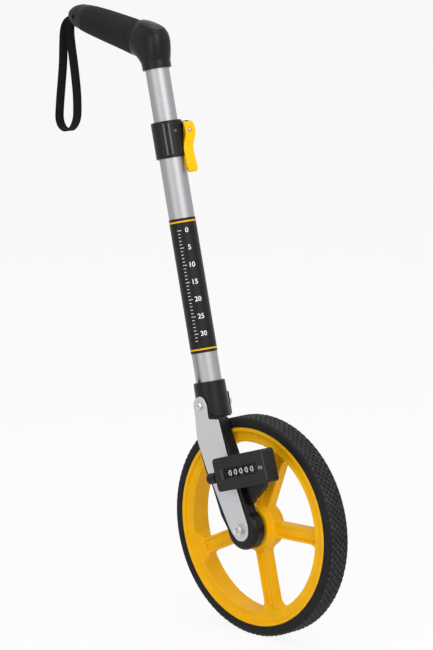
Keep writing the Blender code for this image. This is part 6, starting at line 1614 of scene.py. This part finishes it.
class MakeDrums(bpy.types.Operator):
    """Five drums with the digits 0 to 9, and the ribbed reset knob"""
    bl_idname = "measuring_wheel.drums"
    bl_label = "Digit drums and knob"

    def execute(self, context):
        half = DRUM_WIDTH / 2
        for number, body in DRUM_BODIES.items():
            x = DRUM_PITCH * (number - 1) - DRUM_FIRST
            profile = [(0.0023, -half), (0.0046, -half), (0.0046, -half + 0.0025), (0.0105, -half + 0.0025),
                       (0.0105, -half), (DRUM_RADIUS - 0.0004, -half), (DRUM_RADIUS, -half + 0.0004),
                       (DRUM_RADIUS, half - 0.0004), (DRUM_RADIUS - 0.0004, half), (0.0023, half)]
            drum = build(f"drum_dressed_{number}", turned(profile, SIDES_TUBE, "X"), "drum_black",
                         at(COUNTER, x, DRUM_BACK))
            digits = []
            for value in range(10):
                digit = glyphs(f"digit_{value}", str(value), DIGIT_HEIGHT, DIGIT_RELIEF, "print_white", PRINT_WEIGHT)
                digit.data.transform(Matrix.Diagonal((DIGIT_WIDER, 1.0, 1.0, 1.0)))
                digits.append(wrap_round_drum(slice_up(digit, 1, DIGIT_STEP), DRUM_RADIUS, radians(36.0) * value, x))
            show(merge(drum, *digits), body, f"digit_drum_{number}", slot="drum_black")

        start = -COUNTER_LENGTH / 2 - 0.003
        end = start - KNOB_LENGTH
        outline = []
        for i in range(KNOB_RIBS // 2):
            for share, radius in KNOB_SHARES:
                turn = 4 * pi * (i + share) / KNOB_RIBS
                outline.append((radius * cos(turn), radius * sin(turn)))
        knob = build("knob_body", prism(outline, end, start, "X"), "counter_black", RESET)
        dome = turned([(0.0, end), (0.0058, end), (0.0070, end + 0.0006), (0.0080, end + 0.0020),
                       (0.0080, start - 0.0008), (0.0072, start), (0.0, start)], SIDES_TUBE, "X")
        shape(knob, "INTERSECT", (dome, RESET))
        cut(knob, (rod(RESET_HOLE, end + 0.0027, start + OVERRUN, SIDES_SCREW, "X"), RESET))
        show(soften(knob, 0.0003), "reset", "reset_knob", slot="dark_plastic")
        left = -COUNTER_LENGTH / 2
        shaft = turned([(0.0, end + 0.003), (0.0025, end + 0.003), (0.0025, start + GAP), (0.005, start + GAP),
                        (0.005, left - GAP), (0.0025, left - GAP), (0.0025, left + 0.008), (0.0, left + 0.008)],
                       SIDES_TUBE, "X")
        show(build("reset_shaft_dressed", shaft, "counter_black", RESET), "reset", "reset_shaft",
             slot="dark_plastic")
        return {"FINISHED"}


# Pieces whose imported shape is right: they only get their finish

KEPT_FINISHES = {
    "strap_pin": "works_steel", "glide_plug": "black_moulding", "guide_ring": "black_moulding",
    "bearing_near": "works_steel", "bearing_far": "works_steel", "bearing_spacer": "screw_zinc",
    "hub_pulley": "black_moulding", "counter_pulley": "black_moulding", "drive_belt": "belt_rubber",
    "worm_shaft": "works_steel", "worm_wheel": "works_brass", "drum_shaft": "works_steel",
    "carry_shaft": "works_steel", "carry_pinion_1": "works_brass", "carry_pinion_2": "works_brass",
    "carry_pinion_3": "works_brass", "carry_pinion_4": "works_brass",
}


class FinishKept(bpy.types.Operator):
    """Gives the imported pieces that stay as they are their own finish"""
    bl_idname = "measuring_wheel.kept"
    bl_label = "Finish the inner pieces"

    def execute(self, context):
        for name, finish in KEPT_FINISHES.items():
            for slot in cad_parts[name].material_slots:
                slot.material = MATERIALS[finish]
        return {"FINISHED"}


class MakeFinishes(bpy.types.Operator):
    """Makes every finish in the colours of the panel"""
    bl_idname = "measuring_wheel.finishes"
    bl_label = "Finishes"

    def execute(self, context):
        make_finishes(context.scene.wheel_colours)
        return {"FINISHED"}


STEPS = (MakeFinishes, MakeStage, MakeStrap, MakeHandle, MakeTubes, MakeClamp, MakeArm, MakeWheel, MakeTyre,
         MakeCounter, MakeDrums, FinishKept)


class WheelPanel(bpy.types.Panel):
    """Lists the pieces of the measuring wheel, and the sizes and colours to change"""
    bl_idname = "VIEW3D_PT_measuring_wheel"
    bl_label = "Measuring wheel"
    bl_space_type = "VIEW_3D"
    bl_region_type = "UI"
    bl_category = "Measuring wheel"

    def draw(self, context):
        column = self.layout.column()
        for step in STEPS:
            column.operator(step.bl_idname)
        scene = context.scene
        for group in (scene.wheel_colours, scene.wheel_tread, scene.wheel_handle, scene.wheel_label):
            for name in group.__annotations__:
                column.prop(group, name)


GROUPS = {"wheel_colours": FinishColours, "wheel_tread": TreadSizes, "wheel_handle": HandleSizes,
          "wheel_label": LabelSizes}


def register():
    for cls in (*GROUPS.values(), *STEPS, WheelPanel):
        bpy.utils.register_class(cls)
    for name, group in GROUPS.items():
        setattr(bpy.types.Scene, name, PointerProperty(type=group))


def unregister():
    for name in GROUPS:
        delattr(bpy.types.Scene, name)
    for cls in reversed((*GROUPS.values(), *STEPS, WheelPanel)):
        bpy.utils.unregister_class(cls)


def main():
    register()
    for step in STEPS:
        group, name = step.bl_idname.split(".")
        getattr(getattr(bpy.ops, group), name)()


if __name__ == "__main__":
    main()
